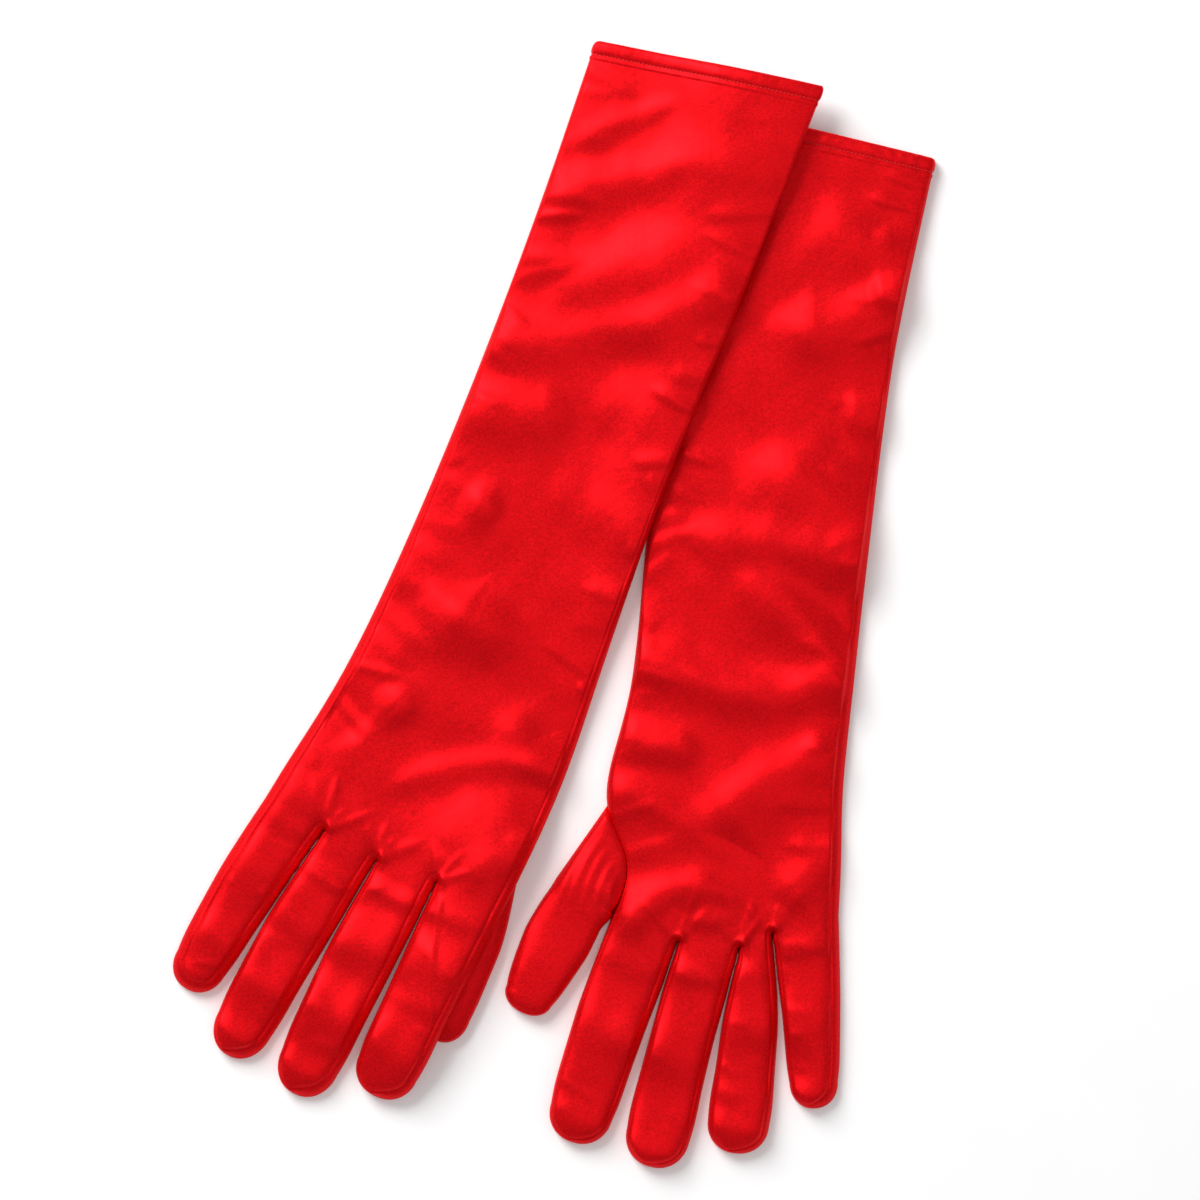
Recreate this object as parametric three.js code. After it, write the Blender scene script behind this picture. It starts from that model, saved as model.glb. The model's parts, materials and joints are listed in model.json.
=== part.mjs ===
// A pair of red satin opera gloves, laid flat with the backs of the hands up.
// The left-hand glove lies on the surface. The right-hand glove lies partly over its sleeve,
// with its own thumb tucked under the palm. Millimetres, +Z up, +Y towards the cuffs.
//
// Each glove is a back panel and a palm panel joined at the side seams, four fingers whose
// inner sides are closed by fourchettes, a set-in thumb, and a cuff turned into a hem casing
// that holds a flat elastic and is closed by one row of stitching.

import * as THREE from "three";

// Cloth and clearances
const CLOTH = 0.8; // satin with its backing
const GAP = 0.35; // between pieces that are sewn together
const FOLD_GAP = 0.9; // between the hand and a finger, along the knuckle fold
const FINGER_SPACE = 0.5; // from a fold line's end to the finger's side

// How far the glove stands up where it lies, and how high its side seams are
const SLEEVE_RISE = 9;
const HAND_RISE = 10;
const FINGER_RISE = 9.6;
const THUMB_RISE = 8.4;
const SLEEVE_SEAM = 6.4;
const FINGER_SEAM = 6.4;
const DRAPE = 26; // length of slope where cloth climbs onto what it lies over

// Cuff
const HEM_DEPTH = 7;
const HEM_RISE = 10.4;
const HEM_LEAF = 0.5; // one thickness of the turned-in cloth
const ELASTIC_WIDTH = 4.6;
const ELASTIC_THICKNESS = 0.7;
const THREAD = 0.4;
const STITCH_INSET = 0.9; // from the casing's lower edge to the row of stitches

// Sections of a glove from the cuff to the knuckles: the run from the section before and its
// heading, in degrees from -Y towards -X, then the width across and the slant of that section.
// finger: base width, heading, bend along its length, length, widest width and width at the tip;
// set_back is how far the web beyond each of the first three fingers lies past a straight line.
const RIGHT = {
  name: "right",
  cuff: [69.4, 242.6],
  sections: [
    { run: 0, heading: 0, width: 104.2, slant: 12 },
    { run: 88, heading: 19.5, width: 100, slant: 20.3 },
    { run: 86, heading: 21.5, width: 97.7, slant: 21.1 },
    { run: 86, heading: 21.1, width: 103, slant: 24 },
    { run: 62, heading: 22.4, width: 111, slant: 26.7 },
    { run: 62, heading: 28.6, slant: 27 },
  ],
  fingers: [
    { name: "little", base: 30.5, heading: 34.5, bend: -6, length: 93, belly: 29.3, tip: 24.5 },
    { name: "ring", base: 27, heading: 33.5, bend: -7, length: 109, belly: 29.5, tip: 26.5 },
    { name: "middle", base: 28.5, heading: 29, bend: -5, length: 112, belly: 31, tip: 28 },
    { name: "index", base: 33, heading: 26.5, bend: -2, length: 98.5, belly: 31, tip: 29 },
  ],
  set_back: [2.5, 4, 0],
};
const LEFT = {
  name: "left",
  cuff: [122.3, 211.9],
  sections: [
    { run: 0, heading: 0, width: 102.5, slant: 13.5 },
    { run: 91, heading: 11.1, width: 99.5, slant: 9.9 },
    { run: 81, heading: 7.9, width: 100.3, slant: 5.1 },
    { run: 84, heading: 6.1, width: 99.4, slant: 3.6 },
    { run: 46.6, heading: 10, width: 107.5, slant: -3.4 },
    { run: 29, heading: -10.5, width: 95.5, slant: -1.9 },
    { run: 26, heading: 11.3, slant: -2 },
  ],
  fingers: [
    { name: "index", base: 31, heading: 21, bend: -5, length: 99.5, belly: 32.5, tip: 29 },
    { name: "middle", base: 27.5, heading: 17, bend: -5, length: 103, belly: 28.5, tip: 29.5 },
    { name: "ring", base: 15, heading: 3, bend: 6, length: 96, belly: 25.5, tip: 28.5 },
    { name: "little", base: 30.5, heading: -4, bend: 3, length: 83, belly: 27, tip: 22 },
  ],
  set_back: [9.8, 13.5, 7.4],
};
// The left thumb leaves the side of the hand; the right thumb starts under the palm.
const LEFT_THUMB = { base: 29, slant: 33, heading: 30, bend: -5, length: 59, belly: 31, tip: 22.5 };
const THUMB_SEAM_END = 0.78; // of the way from the wrist side of the thumb's seam to the knuckles
const THUMB_WEB = 0.93; // the same, for the web between thumb and index finger
const RIGHT_THUMB = {
  at: [-23.4, -110.7], slant: 20, base: 30, heading: 21, bend: -6, length: 90, belly: 31, tip: 22,
};

const SATIN = new THREE.MeshStandardMaterial({ color: 0xd00a14, roughness: 0.38, metalness: 0 });
const ELASTIC = new THREE.MeshStandardMaterial({ color: 0xb01018, roughness: 0.85, metalness: 0 });
const THREAD_FINISH = new THREE.MeshStandardMaterial({ color: 0xe0222c, roughness: 0.6, metalness: 0 });

const UP = new THREE.Vector3(0, 0, 1);
const rad = THREE.MathUtils.degToRad;
const along = (deg) => new THREE.Vector3(-Math.sin(rad(deg)), -Math.cos(rad(deg)), 0);
const across = (deg) => new THREE.Vector3(Math.cos(rad(deg)), -Math.sin(rad(deg)), 0);
const mix = (a, b, t) => a.clone().lerp(b, t);
const smooth = (t) => THREE.MathUtils.smoothstep(t, 0, 1);

// ---------- Solids ----------

function geometryOf(points, triangles) {
  let volume = 0;
  for (const [a, b, c] of triangles) volume += points[a].dot(points[b].clone().cross(points[c]));
  const faces = volume < 0 ? triangles.map(([a, b, c]) => [a, c, b]) : triangles;
  const geometry = new THREE.BufferGeometry().setFromPoints(points);
  geometry.setIndex(faces.flat());
  geometry.computeVertexNormals();
  return geometry;
}

/** A sheet of cloth through a grid of points, with half its thickness on each side along push(i, j). */
function sheet(grid, push) {
  const rows = grid.length;
  const columns = grid[0].length;
  const points = [];
  for (const side of [0.5, -0.5]) {
    grid.forEach((row, i) => row.forEach((p, j) => points.push(p.clone().addScaledVector(push(i, j), side * CLOTH))));
  }
  const id = (layer, i, j) => layer * rows * columns + i * columns + j;
  const triangles = [];
  for (let i = 0; i + 1 < rows; i++) {
    for (let j = 0; j + 1 < columns; j++) {
      const [a, b, c, d] = [[i, j], [i, j + 1], [i + 1, j + 1], [i + 1, j]];
      triangles.push([id(0, ...a), id(0, ...b), id(0, ...c)], [id(0, ...a), id(0, ...c), id(0, ...d)]);
      triangles.push([id(1, ...a), id(1, ...c), id(1, ...b)], [id(1, ...a), id(1, ...d), id(1, ...c)]);
    }
  }
  const rim = [];
  for (let j = 0; j < columns; j++) rim.push([0, j]);
  for (let i = 1; i < rows; i++) rim.push([i, columns - 1]);
  for (let j = columns - 2; j >= 0; j--) rim.push([rows - 1, j]);
  for (let i = rows - 2; i > 0; i--) rim.push([i, 0]);
  rim.forEach((a, k) => {
    const b = rim[(k + 1) % rim.length];
    triangles.push([id(0, ...b), id(0, ...a), id(1, ...a)], [id(0, ...b), id(1, ...a), id(1, ...b)]);
  });
  return geometryOf(points, triangles);
}

/** A closed profile of [inset, along] points carried round a closed loop of place(turn, inset, along). */
function ring(place, profile, steps) {
  const points = [];
  for (let k = 0; k < steps; k++) profile.forEach(([inset, run]) => points.push(place(k / steps, inset, run)));
  const n = profile.length;
  const triangles = [];
  for (let k = 0; k < steps; k++) {
    for (let q = 0; q < n; q++) {
      const next = (k + 1) % steps;
      const [a, b] = [k * n + q, k * n + ((q + 1) % n)];
      const [c, d] = [next * n + ((q + 1) % n), next * n + q];
      triangles.push([a, b, c], [a, c, d]);
    }
  }
  return geometryOf(points, triangles);
}

/** A mesh in its parent group's own frame. */
function piece(name, geometry, material, parent) {
  geometry.translate(-parent.position.x, -parent.position.y, -parent.position.z);
  const mesh = new THREE.Mesh(geometry, material);
  mesh.name = name;
  parent.add(mesh);
  return mesh;
}

// ---------- Cloth heights ----------

const CLOSED = CLOTH * 1.5 + GAP; // mid-cloth height of the back where it lies on the palm

/** Mid-cloth height of the back, and of the palm where it turns up to meet the back at a side seam. */
function heights(u, rise, seam, fall, turned) {
  const crown = (x) => seam + (rise - seam) * (1 - x ** 4) - CLOTH / 2;
  const back = CLOSED + (crown(u) - CLOSED) * fall;
  const seamBack = CLOSED + (crown(1) - CLOSED) * fall;
  const side = u < 0 ? turned[0] : turned[1];
  const palm = CLOTH / 2 + (side ? (seamBack - CLOSED) * Math.abs(u) ** 10 : 0);
  return { back, palm };
}

/** A strip of cloth standing along the first of two edges, from the palm up to the back's seam. */
function wall([edge, other], rows, seamAt, lift) {
  const inwards = rows.map((t) => other.getPoint(t).sub(edge.getPoint(t)).setZ(0).normalize());
  const grid = rows.map((t, i) => {
    const p = edge.getPoint(t).addScaledVector(inwards[i], CLOTH / 2 + GAP / 2);
    const floor = lift(p);
    return [p.clone().setZ(floor + CLOTH + GAP), p.clone().setZ(floor + seamAt(t) - CLOTH / 2 - GAP)];
  });
  return sheet(grid, (i) => inwards[i]);
}

// ---------- Plan of one glove ----------

function planOf(glove) {
  const knuckles = glove.fingers.reduce((sum, f) => sum + f.base, 0);
  const centre = new THREE.Vector3(...glove.cuff, 0);
  const left = [];
  const right = [];
  glove.sections.forEach((s) => {
    centre.addScaledVector(along(s.heading), s.run);
    const half = (s.width ?? knuckles) / 2;
    left.push(centre.clone().addScaledVector(across(s.slant), -half));
    right.push(centre.clone().addScaledVector(across(s.slant), half));
  });
  const cuffLine = [left[0].clone(), right[0].clone()];
  const belowHem = along(glove.sections[0].slant).multiplyScalar(HEM_DEPTH + GAP);
  left[0].add(belowHem);
  right[0].add(belowHem);
  const leftEdge = new THREE.CatmullRomCurve3(left, false, "centripetal");
  const rightEdge = new THREE.CatmullRomCurve3(right, false, "centripetal");
  const last = glove.sections.at(-1);
  // Fold lines: the ends of each finger's base, with the webs set back from the straight line.
  const webs = [left.at(-1)];
  let reach = 0;
  glove.fingers.forEach((f, k) => {
    reach += f.base / knuckles;
    const setBack = glove.set_back[k] ?? 0;
    webs.push(mix(left.at(-1), right.at(-1), reach).addScaledVector(along(last.slant), setBack));
  });
  return { cuffLine, leftEdge, rightEdge, webs, shares: webs.map((w, k) => shareAt(glove, knuckles, k)) };
}

function shareAt(glove, knuckles, k) {
  return glove.fingers.slice(0, k).reduce((sum, f) => sum + f.base, 0) / knuckles;
}

/** Where the web line lies past the straight knuckle line, at a share of the width. */
function setBackAt(glove, plan, share) {
  const k = Math.max(0, plan.shares.findIndex((s) => s >= share - 1e-9) - 1);
  const [a, b] = [glove.set_back[k - 1] ?? 0, glove.set_back[k] ?? 0];
  return THREE.MathUtils.mapLinear(share, plan.shares[k], plan.shares[k + 1], a, b);
}

/** Distance of a point into the region beyond an edge, positive on the edge's left looking down it. */
function depthInside(edge, point) {
  let best = Infinity;
  let depth = 0;
  const steps = edge.length - 1;
  for (let k = 0; k < steps; k++) {
    const line = edge[k + 1].clone().sub(edge[k]);
    let t = point.clone().sub(edge[k]).dot(line) / line.lengthSq();
    if (k > 0) t = Math.max(0, t);
    if (k + 1 < steps) t = Math.min(1, t);
    const foot = edge[k].clone().addScaledVector(line, t);
    const away = point.clone().sub(foot);
    away.z = 0;
    if (away.length() < best) {
      best = away.length();
      depth = best * Math.sign(line.clone().cross(away).z);
    }
  }
  return depth;
}

// ---------- Cuff ----------

/** The three rings of a cuff: the turned-in casing, the elastic in it and its row of stitches. */
function cuff(glove, plan, lift, parent) {
  const [first] = glove.sections;
  const middle = mix(...plan.cuffLine, 0.5);
  const half = first.width / 2;
  const down = along(first.slant);
  const bed = THREAD + GAP; // the casing's underside, clear of the stitches below it
  const place = (turn, inset, run) => {
    const angle = turn * 2 * Math.PI;
    const [c, s] = [Math.cos(angle), Math.sin(angle)];
    const square = (x) => Math.sign(x) * Math.abs(x) ** 0.45;
    const p = middle.clone().addScaledVector(across(first.slant), square(c) * (half - inset));
    p.addScaledVector(down, HEM_DEPTH - run);
    p.z = lift(p) + bed + HEM_RISE / 2 + square(s) * (HEM_RISE / 2 - inset);
    return p;
  };
  const inner = 2 * HEM_LEAF + 2 * GAP + ELASTIC_THICKNESS;
  const casing = [
    [0, 0],
    [0, HEM_DEPTH - HEM_LEAF],
    [inner * 0.3, HEM_DEPTH],
    [inner * 0.7, HEM_DEPTH],
    [inner, HEM_DEPTH - HEM_LEAF],
    [inner, 0],
    [inner - HEM_LEAF, 0],
    [inner - HEM_LEAF, HEM_DEPTH - HEM_LEAF - GAP],
    [HEM_LEAF, HEM_DEPTH - HEM_LEAF - GAP],
    [HEM_LEAF, 0],
  ];
  const [near, far] = [HEM_LEAF + GAP, HEM_LEAF + GAP + ELASTIC_THICKNESS];
  const top = HEM_DEPTH - HEM_LEAF - 2 * GAP;
  const elastic = [
    [near, top - ELASTIC_WIDTH],
    [near, top],
    [far, top],
    [far, top - ELASTIC_WIDTH],
  ];
  const radius = THREAD / 2;
  const thread = [0, 1, 2, 3, 4].map((k) => {
    const angle = (k / 5) * 2 * Math.PI;
    return [-GAP - radius + radius * Math.cos(angle), STITCH_INSET + radius * Math.sin(angle)];
  });
  const turns = 36;
  piece(`${glove.name}_hem_casing`, ring(place, casing, turns), SATIN, parent);
  piece(`${glove.name}_hem_elastic`, ring(place, elastic, turns), ELASTIC, parent);
  piece(`${glove.name}_hem_stitching`, ring(place, thread, turns), THREAD_FINISH, parent);
}

// ---------- Sleeve and hand ----------

/** The back and palm panels from the casing to the knuckle folds, and the sides between them. */
function handPanels(glove, plan, lift, parent) {
  const rowsPerSection = 3;
  const sections = glove.sections.length - 1;
  const rows = [0];
  for (let k = 1; k <= sections * rowsPerSection; k++) rows.push(k / (sections * rowsPerSection));
  const shares = [];
  plan.shares.slice(0, -1).forEach((s, k) => {
    for (let q = 0; q < 3; q++) shares.push(s + ((plan.shares[k + 1] - s) * q) / 3);
  });
  shares.push(1);
  const handStart = (sections - 2) / sections;
  const place = (t, share) => {
    const p = mix(plan.leftEdge.getPoint(t), plan.rightEdge.getPoint(t), share);
    const nearKnuckles = smooth((t - handStart) / (1 - handStart));
    const reach = setBackAt(glove, plan, share) * nearKnuckles - (t === 1 ? FOLD_GAP / 2 : 0);
    return p.addScaledVector(along(glove.sections.at(-1).slant), reach);
  };
  const heightsAt = (t, u) => {
    const rise = THREE.MathUtils.lerp(SLEEVE_RISE, HAND_RISE, smooth((t - 0.5) / 0.4));
    return heights(u, rise, SLEEVE_SEAM, 1, [false, false]);
  };
  const surface = (which) => rows.map((t) => shares.map((share) => {
    const p = place(t, share);
    p.z = lift(p) + heightsAt(t, share * 2 - 1)[which];
    return p;
  }));
  piece(`${glove.name}_back_panel`, sheet(surface("back"), () => UP), SATIN, parent);
  piece(`${glove.name}_palm_panel`, sheet(surface("palm"), () => UP), SATIN, parent);
  const seamAt = (t) => heightsAt(t, 1).back;
  const outerFirst = glove.fingers[0].name === "little";
  const edges = outerFirst ? [plan.leftEdge, plan.rightEdge] : [plan.rightEdge, plan.leftEdge];
  piece(`${glove.name}_outer_side`, wall(edges, rows, seamAt, lift), SATIN, parent);
  piece(`${glove.name}_inner_side`, wall(edges.toReversed(), rows, seamAt, lift), SATIN, parent);
}

// ---------- Fingers ----------

/** Left and right outlines of a finger that leaves a base line between two points. */
function fingerEdges(from, to, spec) {
  const base = mix(from, to, 0.5);
  const start = spec.heading;
  const centreAt = (t) => {
    const mean = start + (spec.bend * t) / 2;
    return base.clone().addScaledVector(along(mean), spec.length * t);
  };
  const at = (t, width, side) => centreAt(t).addScaledVector(across(start + spec.bend * t), (side * width) / 2);
  const edge = (end, side) => new THREE.CatmullRomCurve3([
    end,
    at(0.4, spec.belly, side),
    at(0.68, (spec.belly + spec.tip) / 2, side),
    at(0.87, spec.tip, side),
    at(0.965, spec.tip * 0.66, side),
    at(1, spec.tip * 0.25, side),
  ], false, "centripetal");
  return [edge(from, -1), edge(to, 1)];
}

/** A finger's back and palm and the fourchettes on its walled sides, in a group at its fold line. */
function finger(name, [from, to], spec, rise, walls, lift, parent) {
  const out = to.clone().sub(from).normalize();
  const forward = new THREE.Vector3(out.y, -out.x, 0);
  const start = from.clone().addScaledVector(out, FINGER_SPACE).addScaledVector(forward, FOLD_GAP / 2);
  const end = to.clone().addScaledVector(out, -FINGER_SPACE).addScaledVector(forward, FOLD_GAP / 2);
  const [leftEdge, rightEdge] = fingerEdges(start, end, spec);
  const group = new THREE.Group();
  group.name = name;
  group.position.copy(mix(start, end, 0.5));
  group.position.z = lift(group.position) + rise + CLOTH;
  parent.add(group);

  const rows = [0, 0.1, 0.2, 0.35, 0.5, 0.64, 0.76, 0.86, 0.94, 1];
  const columns = [-1, -0.8, -0.4, 0, 0.4, 0.8, 1];
  const fallAt = (t) => (t < 0.7 ? 1 : Math.sqrt(Math.max(0, 1 - ((t - 0.7) / 0.3) ** 2)));
  const turned = walls.map((w) => !w);
  const surface = (which) => rows.map((t) => columns.map((u) => {
    const p = mix(leftEdge.getPoint(t), rightEdge.getPoint(t), (u + 1) / 2);
    p.z = lift(p) + heights(u, rise, FINGER_SEAM, fallAt(t), turned)[which];
    return p;
  }));
  piece(`${name}_back`, sheet(surface("back"), () => UP), SATIN, group);
  piece(`${name}_palm`, sheet(surface("palm"), () => UP), SATIN, group);

  const wallRows = rows.filter((t) => t < 0.9);
  const seamAt = (t) => heights(1, rise, FINGER_SEAM, fallAt(t), turned).back;
  walls.forEach((label, side) => {
    if (!label) return;
    const edges = side ? [rightEdge, leftEdge] : [leftEdge, rightEdge];
    piece(`${name}_fourchette_${label}`, wall(edges, wallRows, seamAt, lift), SATIN, group);
  });
  return group;
}

/** Four fingers from the knuckle folds. A finger has a fourchette on each side that faces another finger. */
function fingers(glove, plan, lift, parent) {
  glove.fingers.forEach((spec, k) => {
    const towards = (j) => (glove.fingers[j] ? `to_${glove.fingers[j].name}` : null);
    const walls = [towards(k - 1), towards(k + 1)];
    finger(`${glove.name}_${spec.name}`, [plan.webs[k], plan.webs[k + 1]], spec, FINGER_RISE, walls, lift, parent);
  });
}

// ---------- Thumbs ----------

/** The left thumb: a root set into the side of the hand, and the thumb beyond its fold line. */
function leftThumb(glove, plan, parent) {
  const sections = glove.sections.length - 1;
  const seamStart = (sections - 2) / sections;
  const beside = (share) => {
    const t = THREE.MathUtils.lerp(seamStart, 1, share);
    const tangent = plan.leftEdge.getTangent(t);
    const outwards = new THREE.Vector3(tangent.y, -tangent.x, 0);
    return plan.leftEdge.getPoint(t).addScaledVector(outwards, GAP + CLOTH / 2);
  };
  const web = beside(THUMB_WEB).addScaledVector(across(LEFT_THUMB.slant), -GAP);
  const outer = web.clone().addScaledVector(across(LEFT_THUMB.slant), -LEFT_THUMB.base);
  const rows = [0, 0.34, 0.67, 1];
  const columns = [0, 0.1, 0.3, 0.5, 0.7, 0.9, 1];
  const short = along(LEFT_THUMB.slant).multiplyScalar(-FOLD_GAP / 2);
  const surface = (which) => rows.map((t) => columns.map((share) => {
    const p = mix(beside(share * THUMB_SEAM_END), mix(outer, web, share).add(short), t);
    const seamHigh = THREE.MathUtils.lerp(SLEEVE_SEAM, FINGER_SEAM, t);
    p.z = heights(share * 2 - 1, THUMB_RISE, seamHigh, 1, [true, true])[which];
    return p;
  }));
  piece(`${glove.name}_thumb_root_back`, sheet(surface("back"), () => UP), SATIN, parent);
  piece(`${glove.name}_thumb_root_palm`, sheet(surface("palm"), () => UP), SATIN, parent);
  finger(`${glove.name}_thumb`, [outer, web], LEFT_THUMB, THUMB_RISE, [null, null], () => 0, parent);
}

function rightThumbEnds() {
  const middle = new THREE.Vector3(...RIGHT_THUMB.at, 0);
  const half = across(RIGHT_THUMB.slant).multiplyScalar(RIGHT_THUMB.base / 2);
  return [middle.clone().sub(half), middle.clone().add(half)];
}

// ---------- The pair ----------

const leftPlan = planOf(LEFT);
const rightPlan = planOf(RIGHT);
const flat = () => 0;

/** How high the left sleeve stands at a point along it: highest at its hem. */
function sleeveTop(point) {
  const down = along(LEFT.sections[0].slant);
  const fromCuff = point.clone().sub(leftPlan.cuffLine[0]).setZ(0).dot(down);
  const hemTop = HEM_RISE + 2 * (THREAD + GAP);
  return THREE.MathUtils.lerp(hemTop, SLEEVE_RISE, smooth((fromCuff - 3 * HEM_DEPTH) / DRAPE));
}

/** How far the right glove is lifted by the left sleeve and by its own thumb under it. */
function climb(point) {
  const onFloor = point.clone().setZ(0);
  const overSleeve = depthInside(leftPlan.leftEdge.getPoints(24), onFloor);
  const root = mix(...rightThumbEnds(), 0.5);
  const meanHeading = RIGHT_THUMB.heading + RIGHT_THUMB.bend / 2;
  const thumb = new THREE.Line3(root, root.clone().addScaledVector(along(meanHeading), RIGHT_THUMB.length));
  const nearest = thumb.closestPointToPoint(onFloor, true, new THREE.Vector3());
  const overThumb = RIGHT_THUMB.belly / 2 - onFloor.distanceTo(nearest);
  const height = (depth, top) => (top + GAP) * smooth((depth + DRAPE) / DRAPE);
  return Math.max(height(overSleeve, sleeveTop(point)), height(overThumb, THUMB_RISE));
}

const leftGlove = new THREE.Group();
leftGlove.name = "left_glove";
cuff(LEFT, leftPlan, flat, leftGlove);
handPanels(LEFT, leftPlan, flat, leftGlove);
fingers(LEFT, leftPlan, flat, leftGlove);
leftThumb(LEFT, leftPlan, leftGlove);

const rightGlove = new THREE.Group();
rightGlove.name = "right_glove";
cuff(RIGHT, rightPlan, climb, rightGlove);
handPanels(RIGHT, rightPlan, climb, rightGlove);
fingers(RIGHT, rightPlan, climb, rightGlove);
finger("right_thumb", rightThumbEnds(), RIGHT_THUMB, THUMB_RISE, [null, null], flat, rightGlove);

const gloves = new THREE.Group();
gloves.add(leftGlove, rightGlove);

// The frame's origin is under the middle of the pair.
const box = new THREE.Box3().setFromObject(gloves);
const middle = box.getCenter(new THREE.Vector3()).setZ(box.min.z);
for (const glove of gloves.children) glove.position.sub(middle);

export default gloves;
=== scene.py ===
"""A pair of long satin opera gloves, laid flat with one partly over the other."""

import json
import math

import bpy
import numpy as np
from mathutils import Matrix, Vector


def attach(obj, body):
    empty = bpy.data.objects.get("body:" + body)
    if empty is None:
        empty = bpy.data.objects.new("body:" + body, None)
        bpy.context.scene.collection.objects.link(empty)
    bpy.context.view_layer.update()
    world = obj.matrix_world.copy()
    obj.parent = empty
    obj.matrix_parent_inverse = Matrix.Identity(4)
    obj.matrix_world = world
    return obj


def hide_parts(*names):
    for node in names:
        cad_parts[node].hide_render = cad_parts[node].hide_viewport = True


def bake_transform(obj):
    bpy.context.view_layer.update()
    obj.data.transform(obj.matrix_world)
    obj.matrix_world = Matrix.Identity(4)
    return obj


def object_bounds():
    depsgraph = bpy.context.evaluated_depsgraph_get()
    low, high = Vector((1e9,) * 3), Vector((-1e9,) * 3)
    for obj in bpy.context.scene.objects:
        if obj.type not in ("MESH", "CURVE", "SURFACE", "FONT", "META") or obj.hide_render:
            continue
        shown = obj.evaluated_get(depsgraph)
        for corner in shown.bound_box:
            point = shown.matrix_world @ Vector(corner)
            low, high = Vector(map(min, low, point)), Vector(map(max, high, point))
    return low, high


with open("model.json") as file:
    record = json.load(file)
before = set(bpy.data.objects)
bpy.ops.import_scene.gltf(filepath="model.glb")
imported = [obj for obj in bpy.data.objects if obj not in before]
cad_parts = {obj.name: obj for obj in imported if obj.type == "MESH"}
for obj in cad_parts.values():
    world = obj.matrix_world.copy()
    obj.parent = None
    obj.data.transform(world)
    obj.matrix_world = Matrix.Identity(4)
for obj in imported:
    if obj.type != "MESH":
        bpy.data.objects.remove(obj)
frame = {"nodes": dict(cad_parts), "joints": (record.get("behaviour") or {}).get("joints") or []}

bl_info = {
    "name": "Opera Gloves",
    "version": (1, 0, 0),
    "blender": (4, 5, 0),
    "location": "View3D > Sidebar > Gloves",
    "description": "Builds a pair of long satin gloves, with seams, gathered hems and soft folds",
    "category": "Add Mesh",
}

CAD_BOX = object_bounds()
MM = 0.001
HINGES = {
    joint["child"]: np.array(joint["pos_m"][:2]) / MM
    for joint in frame["joints"] if joint["type"] == "hinge"
}

# Fingers in order from the lower to the higher x.
FINGERS = {
    "right": ["little", "ring", "middle", "index"],
    "left": ["index", "middle", "ring", "little"],
}
# Width of the side strip that shows above the outline, in millimetres: at the cuff, at the
# knuckles and between the fingers. The first of each pair is the side with the lower x.
STRIPS = {
    "right": {"cuff": (1.1, 0.6), "knuckle": (4.4, 4.2), "finger": (1.1, 4.3)},
    "left": {"cuff": (1.1, 1.8), "knuckle": (1.3, 4.3), "finger": (1.3, 2.8)},
}

# ---------- Counts ----------
SLEEVE_ROWS = 380
FINGER_ROWS = 84
TIP_ROWS = 22
BACK_COLUMNS = 24
STRIP_COLUMNS = 6
UNDER_COLUMNS = 36
CREASE_STEPS = 44
FINGER_UNDER_COLUMNS = 12
THUMB_COLUMNS = 31
ROOT_ROWS = 44
STITCH_SIDES = 6
STITCH_RINGS = 5

# ---------- Heights and distances in millimetres ----------
UNDERSIDE = 0.35
EDGE_HEIGHT = 1.8
SEAM_HEIGHT = 7.0
SEAM_GROOVE = 0.34
SEAM_GROOVE_WIDTH = 0.34
HAND_CROWN = 2.6
HAND_CROWN_REACH = 12.0
FINGER_CROWN = 2.3
FINGER_CROWN_REACH = 2.8
ROUNDING = 2.0
HEM_WIDTH = 7.2
COVER_GAP = 0.9
THUMB_STRIPS = (1.8, 1.8)
SET_IN_STRIP = 0.7
STITCH_THICKNESS = 0.26
FLOOR_REACH = 2500.0

# Neighbouring fourchettes meet up to the first distance from a web, and are parted over the
# second. The third is what each of them keeps clear of the middle.
WEB_CLOSED = 16.0
WEB_OPENS = 26.0
WEB_GAP = 0.2

# Ends of each bend handed to bend(), from a finger's web line and from the left thumb's hinge
# onward; bend() does not use them.
FINGER_BEND = (0.3, 13.0)
THUMB_BEND = (-5.0, 8.0)
THUMB_BEND_HEIGHT = 9.2

# A fold's end further than this from the middle, as a share across, runs out at the edge.
OPEN_FROM_MIDDLE = 0.37
# The small fold that loops round each web: radius, and how far its legs reach down.
LOOP_RADIUS = 3.5
LOOP_LEGS = (9.0, 1.5)
# Unevenness of all the cloth: height, seed, size and spread of its directions.
RIPPLES = [(0.85, 11, 46.0, 0.65), (0.20, 12, 19.0, math.pi), (0.035, 13, 6.0, math.pi)]

# The frame takes no sheet narrower than 0.01 m. Anything narrower than this, in metres, is
# counted as this where declare works out sizes. The strips between the fingers are 8 to 10.4
# mm wide.
LEAST_DECLARED = 0.0105

# The hem band's section, from the seam over the top and into the opening: distance from the
# cuff's edge, and height above the cloth.
HEM_SECTION = [
    (HEM_WIDTH + 2.2, 0.0), (HEM_WIDTH + 1.2, 0.35), (HEM_WIDTH + 0.4, 0.3),
    (HEM_WIDTH, -0.05), (HEM_WIDTH - 0.5, -0.1), (HEM_WIDTH - 1.0, 0.1),
    (HEM_WIDTH - 1.7, 0.45), (HEM_WIDTH - 3.0, 0.6), (HEM_WIDTH - 4.4, 0.55),
    (HEM_WIDTH - 5.6, 0.35), (HEM_WIDTH - 6.5, 0.0), (0.15, -0.55), (0.0, -1.1),
    (0.5, -1.5), (2.0, -1.7), (HEM_WIDTH, -1.8),
]

# The lower half of a side strip, from the edge to the underside: distance in and height.
LOWER_SIDE = [(0.0, EDGE_HEIGHT), (0.12, 1.5), (0.55, 0.8), (1.3, UNDERSIDE)]

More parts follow.
